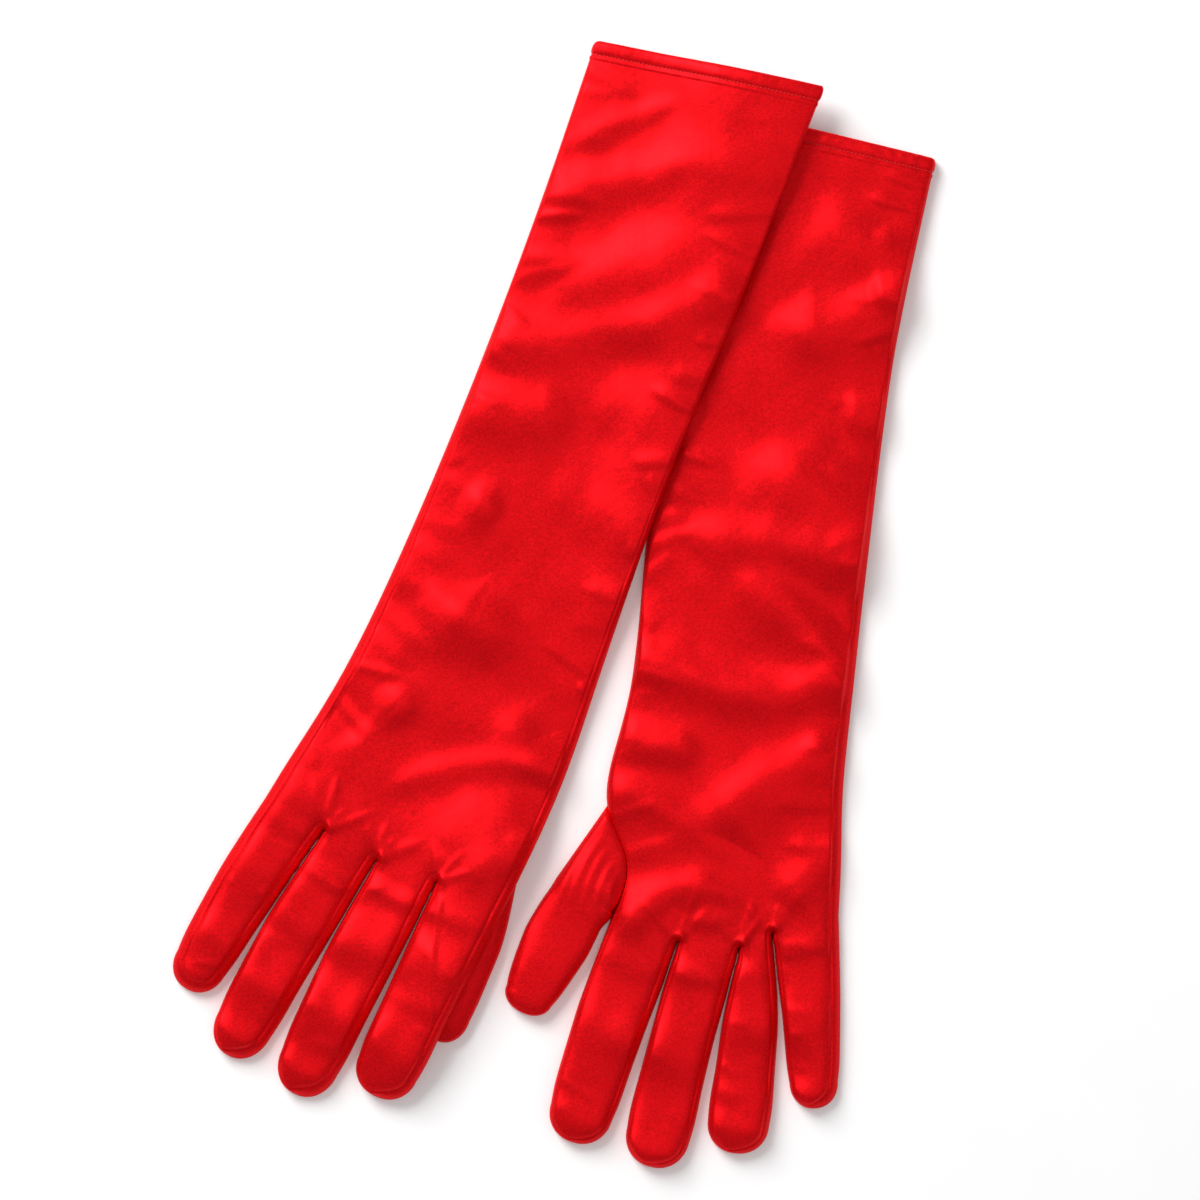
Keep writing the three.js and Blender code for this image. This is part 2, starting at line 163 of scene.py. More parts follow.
# Folds of each glove: points as (millimetres from the cuff, share across), height,
# half width, and how much softer the lower side is than the upper.
FOLDS = {
    "right": [
        ([(43.4, 0.11), (17.1, 0.46)], 1.5, 5.5, 1.0),
        ([(71.7, 0.09), (41.4, 0.66)], 2.9, 8.8, 1.2),
        ([(124.4, 0.16), (97.0, 0.46), (72.7, 0.74)], 4.8, 14.3, 1.3),
        ([(144.7, 0.1), (131.5, 0.45), (100.0, 0.91)], 3.1, 9.9, 1.2),
        ([(178.3, 0.1), (170.1, 0.55)], 4.1, 12.1, 1.2),
        ([(222.0, 0.13), (220.9, 0.38)], 2.9, 8.8, 1.2),
        ([(257.6, 0.16), (273.9, 0.39), (263.7, 0.75)], 4.8, 13.2, 1.3),
        ([(286.1, 0.86), (311.5, 0.77), (314.6, 0.96)], 2.5, 8.8, 1.2),
        ([(365.4, 0.36), (334.9, 0.58), (317.6, 0.97)], 2.2, 6.6, 1.2),
        ([(315.6, 0.15), (324.8, 0.37)], 2.9, 8.8, 1.2),
        ([(330.9, 0.03), (342.0, 0.22)], -2.4, 8.8, 1.0),
        ([(382.6, 0.77), (352.2, 0.99)], 2.0, 7.7, 1.2),
    ],
    "left": [
        ([(24.4, 0.49), (42.2, 0.71), (52.6, 0.96)], 3.4, 11.0, 1.2),
        ([(83.7, 0.4), (87.4, 0.65), (72.4, 0.98)], 4.6, 13.0, 1.2),
        ([(67.6, 0.82), (62.0, 0.97)], 2.3, 6.1, 1.2),
        ([(127.1, 0.78), (122.4, 0.99)], 3.2, 8.5, 1.2),
        ([(151.7, 0.32), (159.3, 0.66), (176.3, 0.95)], 5.9, 14.5, 1.3),
        ([(190.4, 0.14), (186.7, 0.41), (195.2, 0.95)], 4.3, 10.9, 1.2),
        ([(201.8, 0.32), (213.1, 0.63), (238.6, 0.88)], 4.3, 10.9, 1.2),
        ([(242.3, 0.05), (253.7, 0.52), (249.0, 0.98)], 4.2, 9.7, 1.2),
        ([(276.5, 0.07), (283.2, 0.42)], 3.0, 7.3, 1.2),
        ([(300.2, 0.08), (309.6, 0.28), (338.8, 0.57)], 3.0, 9.0, 1.0),
        ([(320.0, 0.39), (304.0, 0.55), (284.1, 0.88)], 4.8, 12.0, 1.3),
        ([(352.0, 0.70), (341.6, 0.81), (328.6, 0.98)], 3.6, 10.0, 1.2),
        ([(354.0, 0.09), (343.0, 0.31), (354.0, 0.66)], 3.4, 7.5, 1.2),
        ([(357.9, 0.31), (357.9, 0.57)], 1.9, 4.8, 1.0),
    ],
}

# Folds across each finger: share of its length, height, half width, and how far the far
# end lies further along.
FINGER_FOLDS = {
    "right": {
        "little": [(0.06, 0.7, 5.0, 3.0), (0.27, 1.2, 9.0, 5.0), (0.68, 1.7, 7.5, -5.0),
                   (0.92, 0.8, 4.0, 0.0)],
        "ring": [(0.15, 1.4, 4.2, 0.0), (0.38, 0.7, 6.0, 3.0), (0.66, 2.3, 10.5, 2.0),
                 (0.90, 1.5, 5.5, 2.0)],
        "middle": [(0.10, 1.4, 4.2, 0.0), (0.34, 0.7, 7.0, -2.0), (0.61, 2.3, 11.5, 1.0),
                   (0.89, 1.5, 6.0, 2.0)],
        "index": [(0.09, 0.9, 5.0, -3.0), (0.30, 1.4, 8.0, 3.0), (0.52, 0.6, 5.0, -4.0),
                  (0.78, 1.9, 11.5, 3.0)],
    },
    "left": {
        "index": [(0.14, 0.8, 6.0, 2.0), (0.46, 1.5, 12.0, 2.0), (0.88, 1.7, 8.0, 1.0)],
        "middle": [(0.12, 1.3, 4.5, 0.0), (0.50, 1.7, 13.0, 1.0), (0.93, 1.5, 6.0, 0.0)],
        "ring": [(0.13, 0.9, 4.0, 0.0), (0.42, 1.3, 9.0, 2.0), (0.70, 0.7, 4.0, -2.0),
                 (0.87, 1.5, 6.5, 1.0)],
        "little": [(0.10, 1.3, 4.5, 0.0), (0.50, 1.3, 11.0, -2.0), (0.91, 1.4, 6.0, 0.0)],
    },
}


# ---------- Small sums ----------

def smooth(x):
    x = np.clip(x, 0.0, 1.0)
    return x * x * (3.0 - 2.0 * x)


def unit(vector):
    return np.asarray(vector, float) / np.linalg.norm(vector)


def unit_rows(vectors):
    return vectors / np.maximum(np.linalg.norm(vectors, axis=-1), 1e-9)[..., None]


def lerp(a, b, share):
    return a + (b - a) * share


def eased(line, reach):
    """A line of points smoothed along itself, with both ends kept."""
    pad = 3 * reach
    ahead = 2 * line[0] - line[1:pad + 1][::-1]
    behind = 2 * line[-1] - line[-pad - 1:-1][::-1]
    whole = np.vstack([ahead, line, behind])
    weights = np.exp(-0.5 * (np.arange(-pad, pad + 1) / reach) ** 2)
    weights /= weights.sum()
    return np.stack([np.convolve(whole[:, i], weights, "valid") for i in range(2)], 1)


def curve(points, count):
    """A smooth open curve through three points; any other line is kept as it is."""
    points = [np.asarray(p, float) for p in points]
    if len(points) != 3:
        return np.array(points)
    t = np.linspace(0, 1, count)[:, None]
    middle = 2 * points[1] - 0.5 * (points[0] + points[2])
    return (1 - t) ** 2 * points[0] + 2 * t * (1 - t) * middle + t * t * points[2]


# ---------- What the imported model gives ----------

def plan_mesh(node):
    """A node's points in millimetres, and its edges."""
    mesh = frame["nodes"][node].data
    points = np.empty(3 * len(mesh.vertices))
    mesh.vertices.foreach_get("co", points)
    edges = np.empty(2 * len(mesh.edges), int)
    mesh.edges.foreach_get("vertices", edges)
    return points.reshape(-1, 3) / MM, edges.reshape(-1, 2)


def main_axis(points):
    """The direction in plan in which a node is longest."""
    flat = points[:, :2] - points[:, :2].mean(0)
    values, vectors = np.linalg.eigh(flat.T @ flat)
    return vectors[:, 1]


def span(mesh, at, across):
    """Lowest and highest place along a line where it crosses a node's edges, or None."""
    points, edges = mesh
    ahead = np.array([-across[1], across[0]])
    side = (points[:, :2] - at) @ ahead
    place = (points[:, :2] - at) @ across
    a, b = edges.T
    crossing = side[a] * side[b] < 0
    if crossing.sum() < 2:
        return None
    a, b = a[crossing], b[crossing]
    share = side[a] / (side[a] - side[b])
    places = lerp(place[a], place[b], share)
    return places.min(), places.max()


def heading_of(side, finger):
    """The direction from the root of a finger to its tip, and the direction across it."""
    points, _ = plan_mesh(f"{side}_{finger}_palm")
    ahead = main_axis(points)
    if ahead[1] > 0:
        ahead = -ahead
    return ahead, np.array([-ahead[1], ahead[0]])


def base_corners(side, finger):
    """The two corners of a finger's base, lower x first."""
    points, _ = plan_mesh(f"{side}_{finger}_palm")
    ahead, across = heading_of(side, finger)
    flat = points[:, :2]
    return [flat[np.argmax(flat @ (sign * across - ahead))] for sign in (-1, 1)]


class Support:
    """Height of what the right glove lies on, from the underside of its packed panels."""

    STEP = 4.0
    REACH = 11.0

    def __init__(self):
        nodes = ["right_palm_panel"] + [f"right_{f}_palm" for f in FINGERS["right"]]
        points = np.vstack([plan_mesh(node)[0] for node in nodes])
        self.low = points[:, :2].min(0) - 3 * self.STEP
        size = np.ceil((points[:, :2].max(0) + 3 * self.STEP - self.low) / self.STEP).astype(int)
        x = self.low[0] + self.STEP * np.arange(size[0] + 1)
        y = self.low[1] + self.STEP * np.arange(size[1] + 1)
        weights = np.full((len(x), len(y)), 1e-12)
        heights = np.zeros((len(x), len(y)))
        for px, py, pz in points:
            near = np.exp(-0.5 * ((x - px) / self.REACH) ** 2)[:, None]
            near = near * np.exp(-0.5 * ((y - py) / self.REACH) ** 2)[None, :]
            weights += near
            heights += near * max(pz - 0.4, 0.0)
        self.grid = heights / weights

    def __call__(self, plan):
        """The height under each point of a plan."""
        place = (np.asarray(plan, float) - self.low) / self.STEP
        place = np.clip(place, 0, np.array(self.grid.shape) - 1.001)
        cell = place.astype(int)
        fx, fy = (place - cell)[..., 0], (place - cell)[..., 1]
        i, j = cell[..., 0], cell[..., 1]
        g = self.grid
        near = lerp(g[i, j], g[i + 1, j], fx)
        far = lerp(g[i, j + 1], g[i + 1, j + 1], fx)
        return lerp(near, far, fy)


# ---------- Plan of one glove ----------

class Limb:
    """Two facing edges in plan, row by row, from its root to its tip."""

    def __init__(self, left, right, strips):
        self.left, self.right = left, right
        middle = (left + right) / 2
        steps = np.linalg.norm(np.diff(middle, axis=0), axis=1)
        self.run = np.concatenate([[0.0], np.cumsum(steps)])
        self.width = np.linalg.norm(right - left, axis=1)
        self.strips = strips

    def point(self, run, share):
        """The plan point at a run from the root and a share across."""
        left = [np.interp(run, self.run, self.left[:, i]) for i in range(2)]
        right = [np.interp(run, self.run, self.right[:, i]) for i in range(2)]
        return lerp(np.array(left), np.array(right), share)


class Glove:
    """The plan, supports and folds of one glove."""

    def __init__(self, side, support):
        self.side = side
        self.support = support if side == "right" else None
        self.names = FINGERS[side]
        corners = [base_corners(side, finger) for finger in self.names]
        self.webs = [corners[0][0]]
        for before, after in zip(corners, corners[1:]):
            self.webs.append((before[1] + after[0]) / 2)
        self.webs.append(corners[-1][1])
        self.webs = np.array(self.webs)
        self.sleeve = self.sleeve_limb()
        self.fingers = {name: self.finger_limb(i, name) for i, name in enumerate(self.names)}
        self.close_webs()
        self.creases = []
        self.covered_by = None

    def sleeve_limb(self):
        """The sleeve and hand, from the cuff's edge to the knuckles."""
        panel = plan_mesh(f"{self.side}_palm_panel")
        casing, _ = plan_mesh(f"{self.side}_hem_casing")
        first = self.webs[0]
        last = self.webs[-1]
        cuff_across = main_axis(casing)
        cuff_across = cuff_across if cuff_across[0] > 0 else -cuff_across
        up = np.array([-cuff_across[1], cuff_across[0]])
        cuff = casing[:, :2].mean(0)
        cuff = cuff + up * ((casing[:, :2] - cuff) @ up).max()
        knuckle_across = unit(last - first)
        length = np.linalg.norm((first + last) / 2 - cuff)
        shares, lefts, rights = [], [], []
        for share in np.linspace((HEM_WIDTH + 2.0) / length, 0.955, 90):
            at = lerp(cuff, (first + last) / 2, share)
            across = unit(lerp(cuff_across, knuckle_across, share))
            found = span(panel, at, across)
            if found is None:
                continue
            shares.append(share)
            lefts.append(at + across * found[0])
            rights.append(at + across * found[1])
        shares = np.array(shares + [1.0])
        edges = []
        for points, end in ((lefts, first), (rights, last)):
            points = np.array(points + [end])
            lead = points[0] + (points[0] - points[6]) * shares[0] / (shares[6] - shares[0])
            known = np.concatenate([[0.0], shares])
            points = np.vstack([lead, points])
            even = np.linspace(0, 1, SLEEVE_ROWS)
            line = np.stack([np.interp(even, known, points[:, i]) for i in range(2)], 1)
            edges.append(eased(line, 7))
        grown = smooth((np.linspace(0, 1, SLEEVE_ROWS) - 0.25) / 0.6)
        strips = STRIPS[self.side]
        widths = [lerp(strips["cuff"][i], strips["knuckle"][i], grown) for i in range(2)]
        return Limb(edges[0], edges[1], np.stack(widths, 1))

    def finger_limb(self, number, name):
        """One finger, from its base between two webs to the tip."""
        mesh = plan_mesh(f"{self.side}_{name}_palm")
        ahead, across = heading_of(self.side, name)
        strips = STRIPS[self.side]
        base = [strips["finger"][0], strips["finger"][1]]
        if number == 0:
            base[0] = strips["knuckle"][0]
        if number == len(self.names) - 1:
            base[1] = strips["knuckle"][1]
        return finger_outline(
            mesh, (self.webs[number] + self.webs[number + 1]) / 2, ahead, across,
            (self.webs[number], self.webs[number + 1]), base)

    def close_webs(self):
        """Spreads the feet of the fourchettes near each web, where they meet their neighbours."""
        spreads = []
        for before, after in zip(self.names, self.names[1:]):
            low, high = self.fingers[before], self.fingers[after]
            for limb, edge, other, number in ((low, low.right, high.left, 1),
                                              (high, high.left, low.right, 0)):
                gap = np.linalg.norm(edge[:, None] - other[None], axis=-1).min(1)
                fade = 1 - smooth((limb.run - WEB_CLOSED) / WEB_OPENS)
                spreads.append((limb, number, np.maximum(gap / 2 - WEB_GAP, 0) * fade))
        for limb, number, spread in spreads:
            across = unit_rows(limb.right - limb.left)
            if number:
                limb.right = limb.right + across * spread[:, None]
            else:
                limb.left = limb.left - across * spread[:, None]
            limb.strips[:, number] += spread
            limb.feet[:, number] += spread
            limb.width = np.linalg.norm(limb.right - limb.left, axis=1)

    def knuckle_line(self):
        """Points along the webs, at the columns of the fingers' backs and sides."""
        points = []
        columns = column_shares()
        for number, name in enumerate(self.names):
            a, b = self.webs[number], self.webs[number + 1]
            width = np.linalg.norm(b - a)
            low, high = self.fingers[name].strips[0]
            line = []
            if number > 0:
                line += list(np.linspace(0, low, STRIP_COLUMNS + 1)[:-1])
            line += list(low + columns * (width - low - high))
            if number < len(self.names) - 1:
                line += list(width - high + np.linspace(0, high, STRIP_COLUMNS + 1)[1:])
            if number > 0:
                line = line[1:]
            points += [lerp(a, b, place / width) for place in line]
        return np.array(points)

    def lift(self, plan):
        """The height of what lies under this glove."""
        return self.support(plan) if self.support else np.zeros(np.shape(plan)[:-1])


def finger_outline(mesh, base, ahead, across, corners, strips, ease=11.0):
    """A finger's limb: even rows along it, then rows that close round its tip."""
    points, _ = mesh
    length = ((points[:, :2] - base) @ ahead).max()
    stations, lefts, rights = [], [], []
    for run in np.linspace(3.0, 0.86 * length, 26):
        found = span(mesh, base + ahead * run, across)
        if found is None:
            continue
        stations.append(run)
        lefts.append(found[0])
        rights.append(found[1])
    turn = stations[-1]
    even = np.linspace(0, turn, FINGER_ROWS - TIP_ROWS)
    edges = []
    for places, corner in ((lefts, corners[0]), (rights, corners[1])):
        place = np.interp(even, stations, places)
        line = base + even[:, None] * ahead + place[:, None] * across
        line = eased(line, 3)
        edges.append(line + (corner - line[0]) * (1 - smooth(even / ease))[:, None])
    half = (edges[1][-1] - edges[0][-1]) / 2
    middle = (edges[1][-1] + edges[0][-1]) / 2
    angles = np.linspace(0, math.pi / 2, TIP_ROWS + 1)[1:]
    reach = length - turn
    tip = middle + np.sin(angles)[:, None] * reach * ahead
    narrow = np.cos(angles)[:, None] ** 0.9
    left = np.vstack([edges[0], tip - half * narrow])
    right = np.vstack([edges[1], tip + half * narrow])
    limb = Limb(left, right, np.tile(strips, (FINGER_ROWS, 1)).astype(float))
    limb.rounding = np.concatenate([np.zeros(len(even)), np.sin(angles)])
    limb.turn_width = np.linalg.norm(half)
    limb.length = length
    limb.feet = limb.strips.copy()
    room = np.minimum(1.0, 0.42 * limb.width / np.maximum(limb.strips.sum(1), 1e-6))
    limb.strips *= room[:, None]
    return limb


def column_shares():
    """Shares across the back from seam to seam, closer together at the seams."""
    even = np.linspace(0, 1, BACK_COLUMNS + 1)
    return 0.55 * even + 0.45 * (1 - np.cos(math.pi * even)) / 2


# ---------- Height of the cloth ----------

def soft_least(*distances):
    """The least of several distances, rounded where two are alike."""
    total = sum(np.exp(-d / ROUNDING) for d in distances)
    return np.maximum(-ROUNDING * np.log(total), 0.0)


def cloth_height(inside, strip, crown, reach):
    """Height of the cloth at a distance inside the outline."""
    share = np.clip(inside / strip, 0, 1)
    side = EDGE_HEIGHT + (SEAM_HEIGHT - EDGE_HEIGHT) * (1 - (1 - share) ** 1.9) ** 0.75
    beyond = np.maximum(inside - strip, 0)
    back = SEAM_HEIGHT + crown * (1 - np.exp(-(beyond / reach)))
    groove = SEAM_GROOVE * np.exp(-((inside - strip) / SEAM_GROOVE_WIDTH) ** 2)
    return np.where(inside < strip, side, back) - groove


class Crease:
    """A fold in the cloth along a short line.

    It is lean times wider on its lower side, and fades out at each end that isn't open.
    """

    def __init__(self, points, height, wide, lean=1.0, open_start=False, open_end=False):
        self.line = curve(points, CREASE_STEPS)
        self.height, self.wide, self.lean = height, wide, lean
        self.open_start, self.open_end = open_start, open_end

    def add(self, plan, height):
        """Adds the fold to the heights of the plan's points."""
        reach = 3.0 * self.wide * max(1.0, self.lean)
        low, high = self.line.min(0) - reach, self.line.max(0) + reach
        near = np.nonzero(((plan > low) & (plan < high)).all(-1))[0]
        if not len(near):
            return
        p = plan[near]
        a, b = self.line[:-1], self.line[1:]
        step = b - a
        share = np.clip(((p[:, None] - a) * step).sum(-1) / (step ** 2).sum(-1), 0, 1)
        gap = p[:, None] - (a + share[..., None] * step)
        distance = np.linalg.norm(gap, axis=-1)
        best = distance.argmin(1)
        rows = np.arange(len(p))
        t = (best + share[rows, best]) / len(a)
        away = gap[rows, best]
        below = step[best, 0] * away[:, 1] - step[best, 1] * away[:, 0] < 0
        wide = self.wide * np.where(below, self.lean, 1.0)
        taper = np.ones(len(p))
        if not self.open_end:
            taper = smooth(np.minimum(1, (1 - t) / 0.45))
        if not self.open_start:
            taper = taper * smooth(np.minimum(1, t / 0.45))
        wide = wide * (0.55 + 0.45 * taper)
        height[near] += self.height * taper * np.exp(-(distance[rows, best] / wide) ** 2)


def ripple(plan, seed, size, spread=math.pi):
    """A gentle unevenness between -1 and 1 with hollows about a size apart.

    A small spread leaves only hollows that lie across the gloves.
    """
    chance = np.random.default_rng(seed)
    total = np.zeros(plan.shape[:-1])
    for _ in range(9):
        turn = math.pi / 2 + chance.uniform(-spread, spread)
        wave = 2 * math.pi / (size * chance.uniform(0.7, 1.5))
        direction = np.array([math.cos(turn), math.sin(turn)]) * wave
        total += np.sin(plan @ direction + chance.uniform(0, 2 * math.pi))
    return total / 5.0


def top_of(glove, plan, inside, strip, crown, reach):
    """Height of the upper surface at the plan's points, folds and all."""
    shape = plan.shape[:-1]
    flat = plan.reshape(-1, 2)
    folds = np.zeros(len(flat))
    for crease in glove.creases:
        crease.add(flat, folds)
    folds = folds.reshape(shape)
    soft = smooth((inside - strip + 0.8) / 2.0)
    for size, *pattern in RIPPLES:
        folds = folds + size * ripple(plan, *pattern)
    height = cloth_height(inside, strip, crown, reach) + (0.25 + 0.75 * soft) * folds
    height = np.maximum(height, EDGE_HEIGHT * 0.8)
    height = height + glove.lift(plan)
    if glove.covered_by is not None:
        other, edge = glove.covered_by
        under = other.lift(plan) - COVER_GAP
        cover = 1.0
        if edge is not None:
            cover = smooth((inside_edge(flat, edge).reshape(shape) + 4.0) / 7.0)
        height = lerp(height, np.minimum(height, under), cover)
    return height


def inside_edge(points, edge):
    """Signed distance from an edge that runs from the cuff to the hand, lower x inside."""
    line = edge[::6]
    best = np.full(len(points), np.inf)
    sign = np.zeros(len(points))
    for a, b in zip(line, line[1:]):
        step = b - a
        share = np.clip(((points - a) @ step) / (step @ step), 0, 1)
        gap = points - (a + share[:, None] * step)
        distance = np.linalg.norm(gap, axis=1)
        closer = distance < best
        best = np.where(closer, distance, best)
        turn = step[0] * gap[:, 1] - step[1] * gap[:, 0]
        sign = np.where(closer, np.where(turn < 0, 1.0, -1.0), sign)
    return best * sign


# ---------- Meshes ----------

def grid_faces(rows, columns, closed=False, start=0):
    """Quads of a grid of points, with the last column joined to the first if closed."""
    faces = []
    last = columns if closed else columns - 1
    for i in range(rows - 1):
        for j in range(last):
            k = (j + 1) % columns
            a, b = start + i * columns + j, start + i * columns + k
            faces.append((a, b, b + columns, a + columns))
    return faces


def add_mesh(name, points, faces, material):
    """A smooth-shaded object from points in millimetres, with its doubled points joined."""
    mesh = bpy.data.meshes.new(name)
    mesh.from_pydata((np.asarray(points) * MM).tolist(), [], faces)
    mesh.materials.append(material)
    mesh.polygons.foreach_set("use_smooth", [True] * len(mesh.polygons))
    thing = bpy.data.objects.new(name, mesh)
    bpy.context.scene.collection.objects.link(thing)
    mesh.update()
    mesh.validate()
    return thing


def sheet_mesh(name, grid, material, flip=False):
    """An open sheet from a grid of points (rows, columns, xyz)."""
    rows, columns, _ = grid.shape
    faces = grid_faces(rows, columns)
    if flip:
        faces = [face[::-1] for face in faces]
    return add_mesh(name, grid.reshape(-1, 3), faces, material)


def area_of(grid):
    """Area of a grid of points in square metres."""
    a = np.diff(grid, axis=0)[:, :-1]
    b = np.diff(grid, axis=1)[:-1]
    return float(np.linalg.norm(np.cross(a, b), axis=-1).sum()) * MM * MM


def declare(grid):
    """Works out the cloth's size from the lengths of its own rows and columns, and its area, and
    leaves them unused.
    """
    length = np.linalg.norm(np.diff(grid, axis=0), axis=-1).sum(0).max() * MM
    width = np.linalg.norm(np.diff(grid, axis=1), axis=-1).sum(1).max() * MM
    width, length = (max(float(size), LEAST_DECLARED) for size in (width, length))
    area = float(np.clip(area_of(grid), 0.3 * width * length, width * length))


def satin_sheet(name, grid, nodes, flip=False):
    """A sheet of satin that stands for some nodes, which it hides."""
    thing = sheet_mesh(name, grid, material_for("satin"), flip=flip)
    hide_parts(*nodes)
    declare(grid)
    return thing


def bend(thing, hand, body, start, end):
    """Bakes a piece's placing into its mesh; the hand, the body and the two points in mm are not
    used.
    """
    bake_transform(thing)


# ---------- Materials ----------

def join(tree, place, value):
    """Links a wire to a socket, or sets the socket to a plain value."""
    if isinstance(value, Wire):
        tree.links.new(value.socket, place)
    else:
        place.default_value = value


class Wire:
    """A socket's value, which takes part in ordinary sums."""

    def __init__(self, tree, socket):
        self.tree, self.socket = tree, socket

    def sum(self, operation, *values):
        node = self.tree.nodes.new("ShaderNodeMath")
        node.operation = operation
        for place, value in zip(node.inputs, values):
            join(self.tree, place, value)
        return Wire(self.tree, node.outputs[0])

    def __add__(self, other):
        return self.sum("ADD", self, other)

    __radd__ = __add__

    def __sub__(self, other):
        return self.sum("SUBTRACT", self, other)

    def __rsub__(self, other):
        return self.sum("SUBTRACT", other, self)

    def __mul__(self, other):
        return self.sum("MULTIPLY", self, other)

    __rmul__ = __mul__


class Finish:
    """A material's nodes."""

    def __init__(self, name):
        self.material = bpy.data.materials.new(name)
        self.material.use_nodes = True
        self.tree = self.material.node_tree
        self.tree.nodes.clear()
        out = self.tree.nodes.new("ShaderNodeOutputMaterial")
        self.shader = self.tree.nodes.new("ShaderNodeBsdfPrincipled")
        self.tree.links.new(self.shader.outputs[0], out.inputs[0])

    def node(self, kind, settings, output, **values):
        """A node of any other kind: its settings first, then its sockets by name."""
        node = self.tree.nodes.new(kind)
        for name, value in settings.items():
            setattr(node, name, value)
        for name, value in values.items():
            join(self.tree, node.inputs[name.replace("_", " ")], value)
        return Wire(self.tree, node.outputs[output])

    def set(self, **values):
        """Sets or links the shader's own sockets."""
        for name, value in values.items():
            join(self.tree, self.shader.inputs[name.replace("_", " ")], value)

    def stretched(self, size, turn=0.0):
        """The piece's own coordinates, scaled by a size along each axis."""
        place = self.node("ShaderNodeTexCoord", {}, "Object")
        return self.node("ShaderNodeMapping", {}, "Vector", Vector=place, Scale=size,
                         Rotation=(0.0, 0.0, turn))

    def noise(self, place, scale, detail=2.0, rough=0.5):
        return self.node("ShaderNodeTexNoise", {}, "Fac", Vector=place, Scale=scale,
                         Detail=detail, Roughness=rough)

    def mixed(self, share, first, second):
        """A colour between two others."""
        node = self.tree.nodes.new("ShaderNodeMix")
        node.data_type = "RGBA"
        for place, value in (("Factor", share), (6, first), (7, second)):
            join(self.tree, node.inputs[place], value)
        return Wire(self.tree, node.outputs[2])


def colour_steps(colour, dark, light):
    """A darker and a lighter colour on either side of one."""
    r, g, b = colour[:3]
    return (r * dark, g * dark, b * dark, 1.0), (r * light, g * light, b * light, 1.0)


def satin(colour, gloss):
    """Satin: fine floats of thread along the cloth, with a soft metallic sheen."""
    finish = Finish("glove_satin")
    threads = finish.stretched((1.0, 3.4, 1.0), 0.25)
    fine = finish.noise(threads, 800.0, 2.0, 0.65)
    grain = finish.noise(finish.stretched((1.0, 1.0, 1.0)), 900.0, 2.0, 0.7)
    cloud = finish.noise(finish.stretched((1.0, 1.0, 1.0)), 22.0, 2.0)
    dark, light = colour_steps(colour, 0.80, 1.16)
    share = 0.5 + (fine - 0.5) * 1.3 + (grain - 0.5) * 2.2 + (cloud - 0.5) * 0.4
    bump = finish.node("ShaderNodeBump", {}, "Normal", Strength=0.30, Distance=0.00018,
                       Height=fine * 0.5 + grain * 0.8)
    finish.set(Base_Color=finish.mixed(share, dark, light),
               Roughness=gloss + (grain - 0.5) * 0.22, Metallic=0.7, Normal=bump)
    finish.shader.inputs["Specular IOR Level"].default_value = 0.30
    finish.shader.inputs["Specular Tint"].default_value = (1.0, 0.42, 0.45, 1.0)
    return finish.material


def thread(colour):
    """Twisted sewing thread."""
    finish = Finish("hem_thread")
    twist = finish.noise(finish.stretched((1.0, 1.0, 1.0)), 2600.0, 2.0)
    dark, light = colour_steps(colour, 0.7, 1.1)
    bump = finish.node("ShaderNodeBump", {}, "Normal", Strength=0.5, Distance=0.0001,
                       Height=twist)
    finish.set(Base_Color=finish.mixed(twist, dark, light), Roughness=0.5 + twist * 0.1,
               Normal=bump)
    return finish.material


def paper():
    """The pale, faintly mottled surface that the gloves lie on."""
    finish = Finish("pale_surface")
    mottle = finish.noise(finish.stretched((1.0, 1.0, 1.0)), 30.0, 4.0)
    finish.set(Base_Color=finish.mixed(mottle, (0.93, 0.93, 0.93, 1), (0.96, 0.96, 0.96, 1)),
               Roughness=0.9 + mottle * 0.05)
    finish.shader.inputs["Emission Color"].default_value = (1.0, 1.0, 1.0, 1.0)
    finish.shader.inputs["Emission Strength"].default_value = 0.08
    return finish.material


MATERIALS = {}


def material_for(slot):
    """The material of a slot, made the first time that it is wanted."""
    looks = bpy.context.scene.glove_looks
    if slot not in MATERIALS:
        if slot == "satin":
            MATERIALS[slot] = satin(looks.colour, looks.roughness)
        else:
            MATERIALS[slot] = thread(looks.thread_colour)
    return MATERIALS[slot]


# ---------- Pieces ----------

GLOVES = {}


def gloves():
    """Both gloves' plans, worked out once."""
    if not GLOVES:
        support = Support()
        for side in ("right", "left"):
            GLOVES[side] = Glove(side, support)
        right = GLOVES["right"]
        GLOVES["left"].covered_by = (right, right.sleeve.right)
        for side, glove in GLOVES.items():
            add_creases(glove)
    return GLOVES


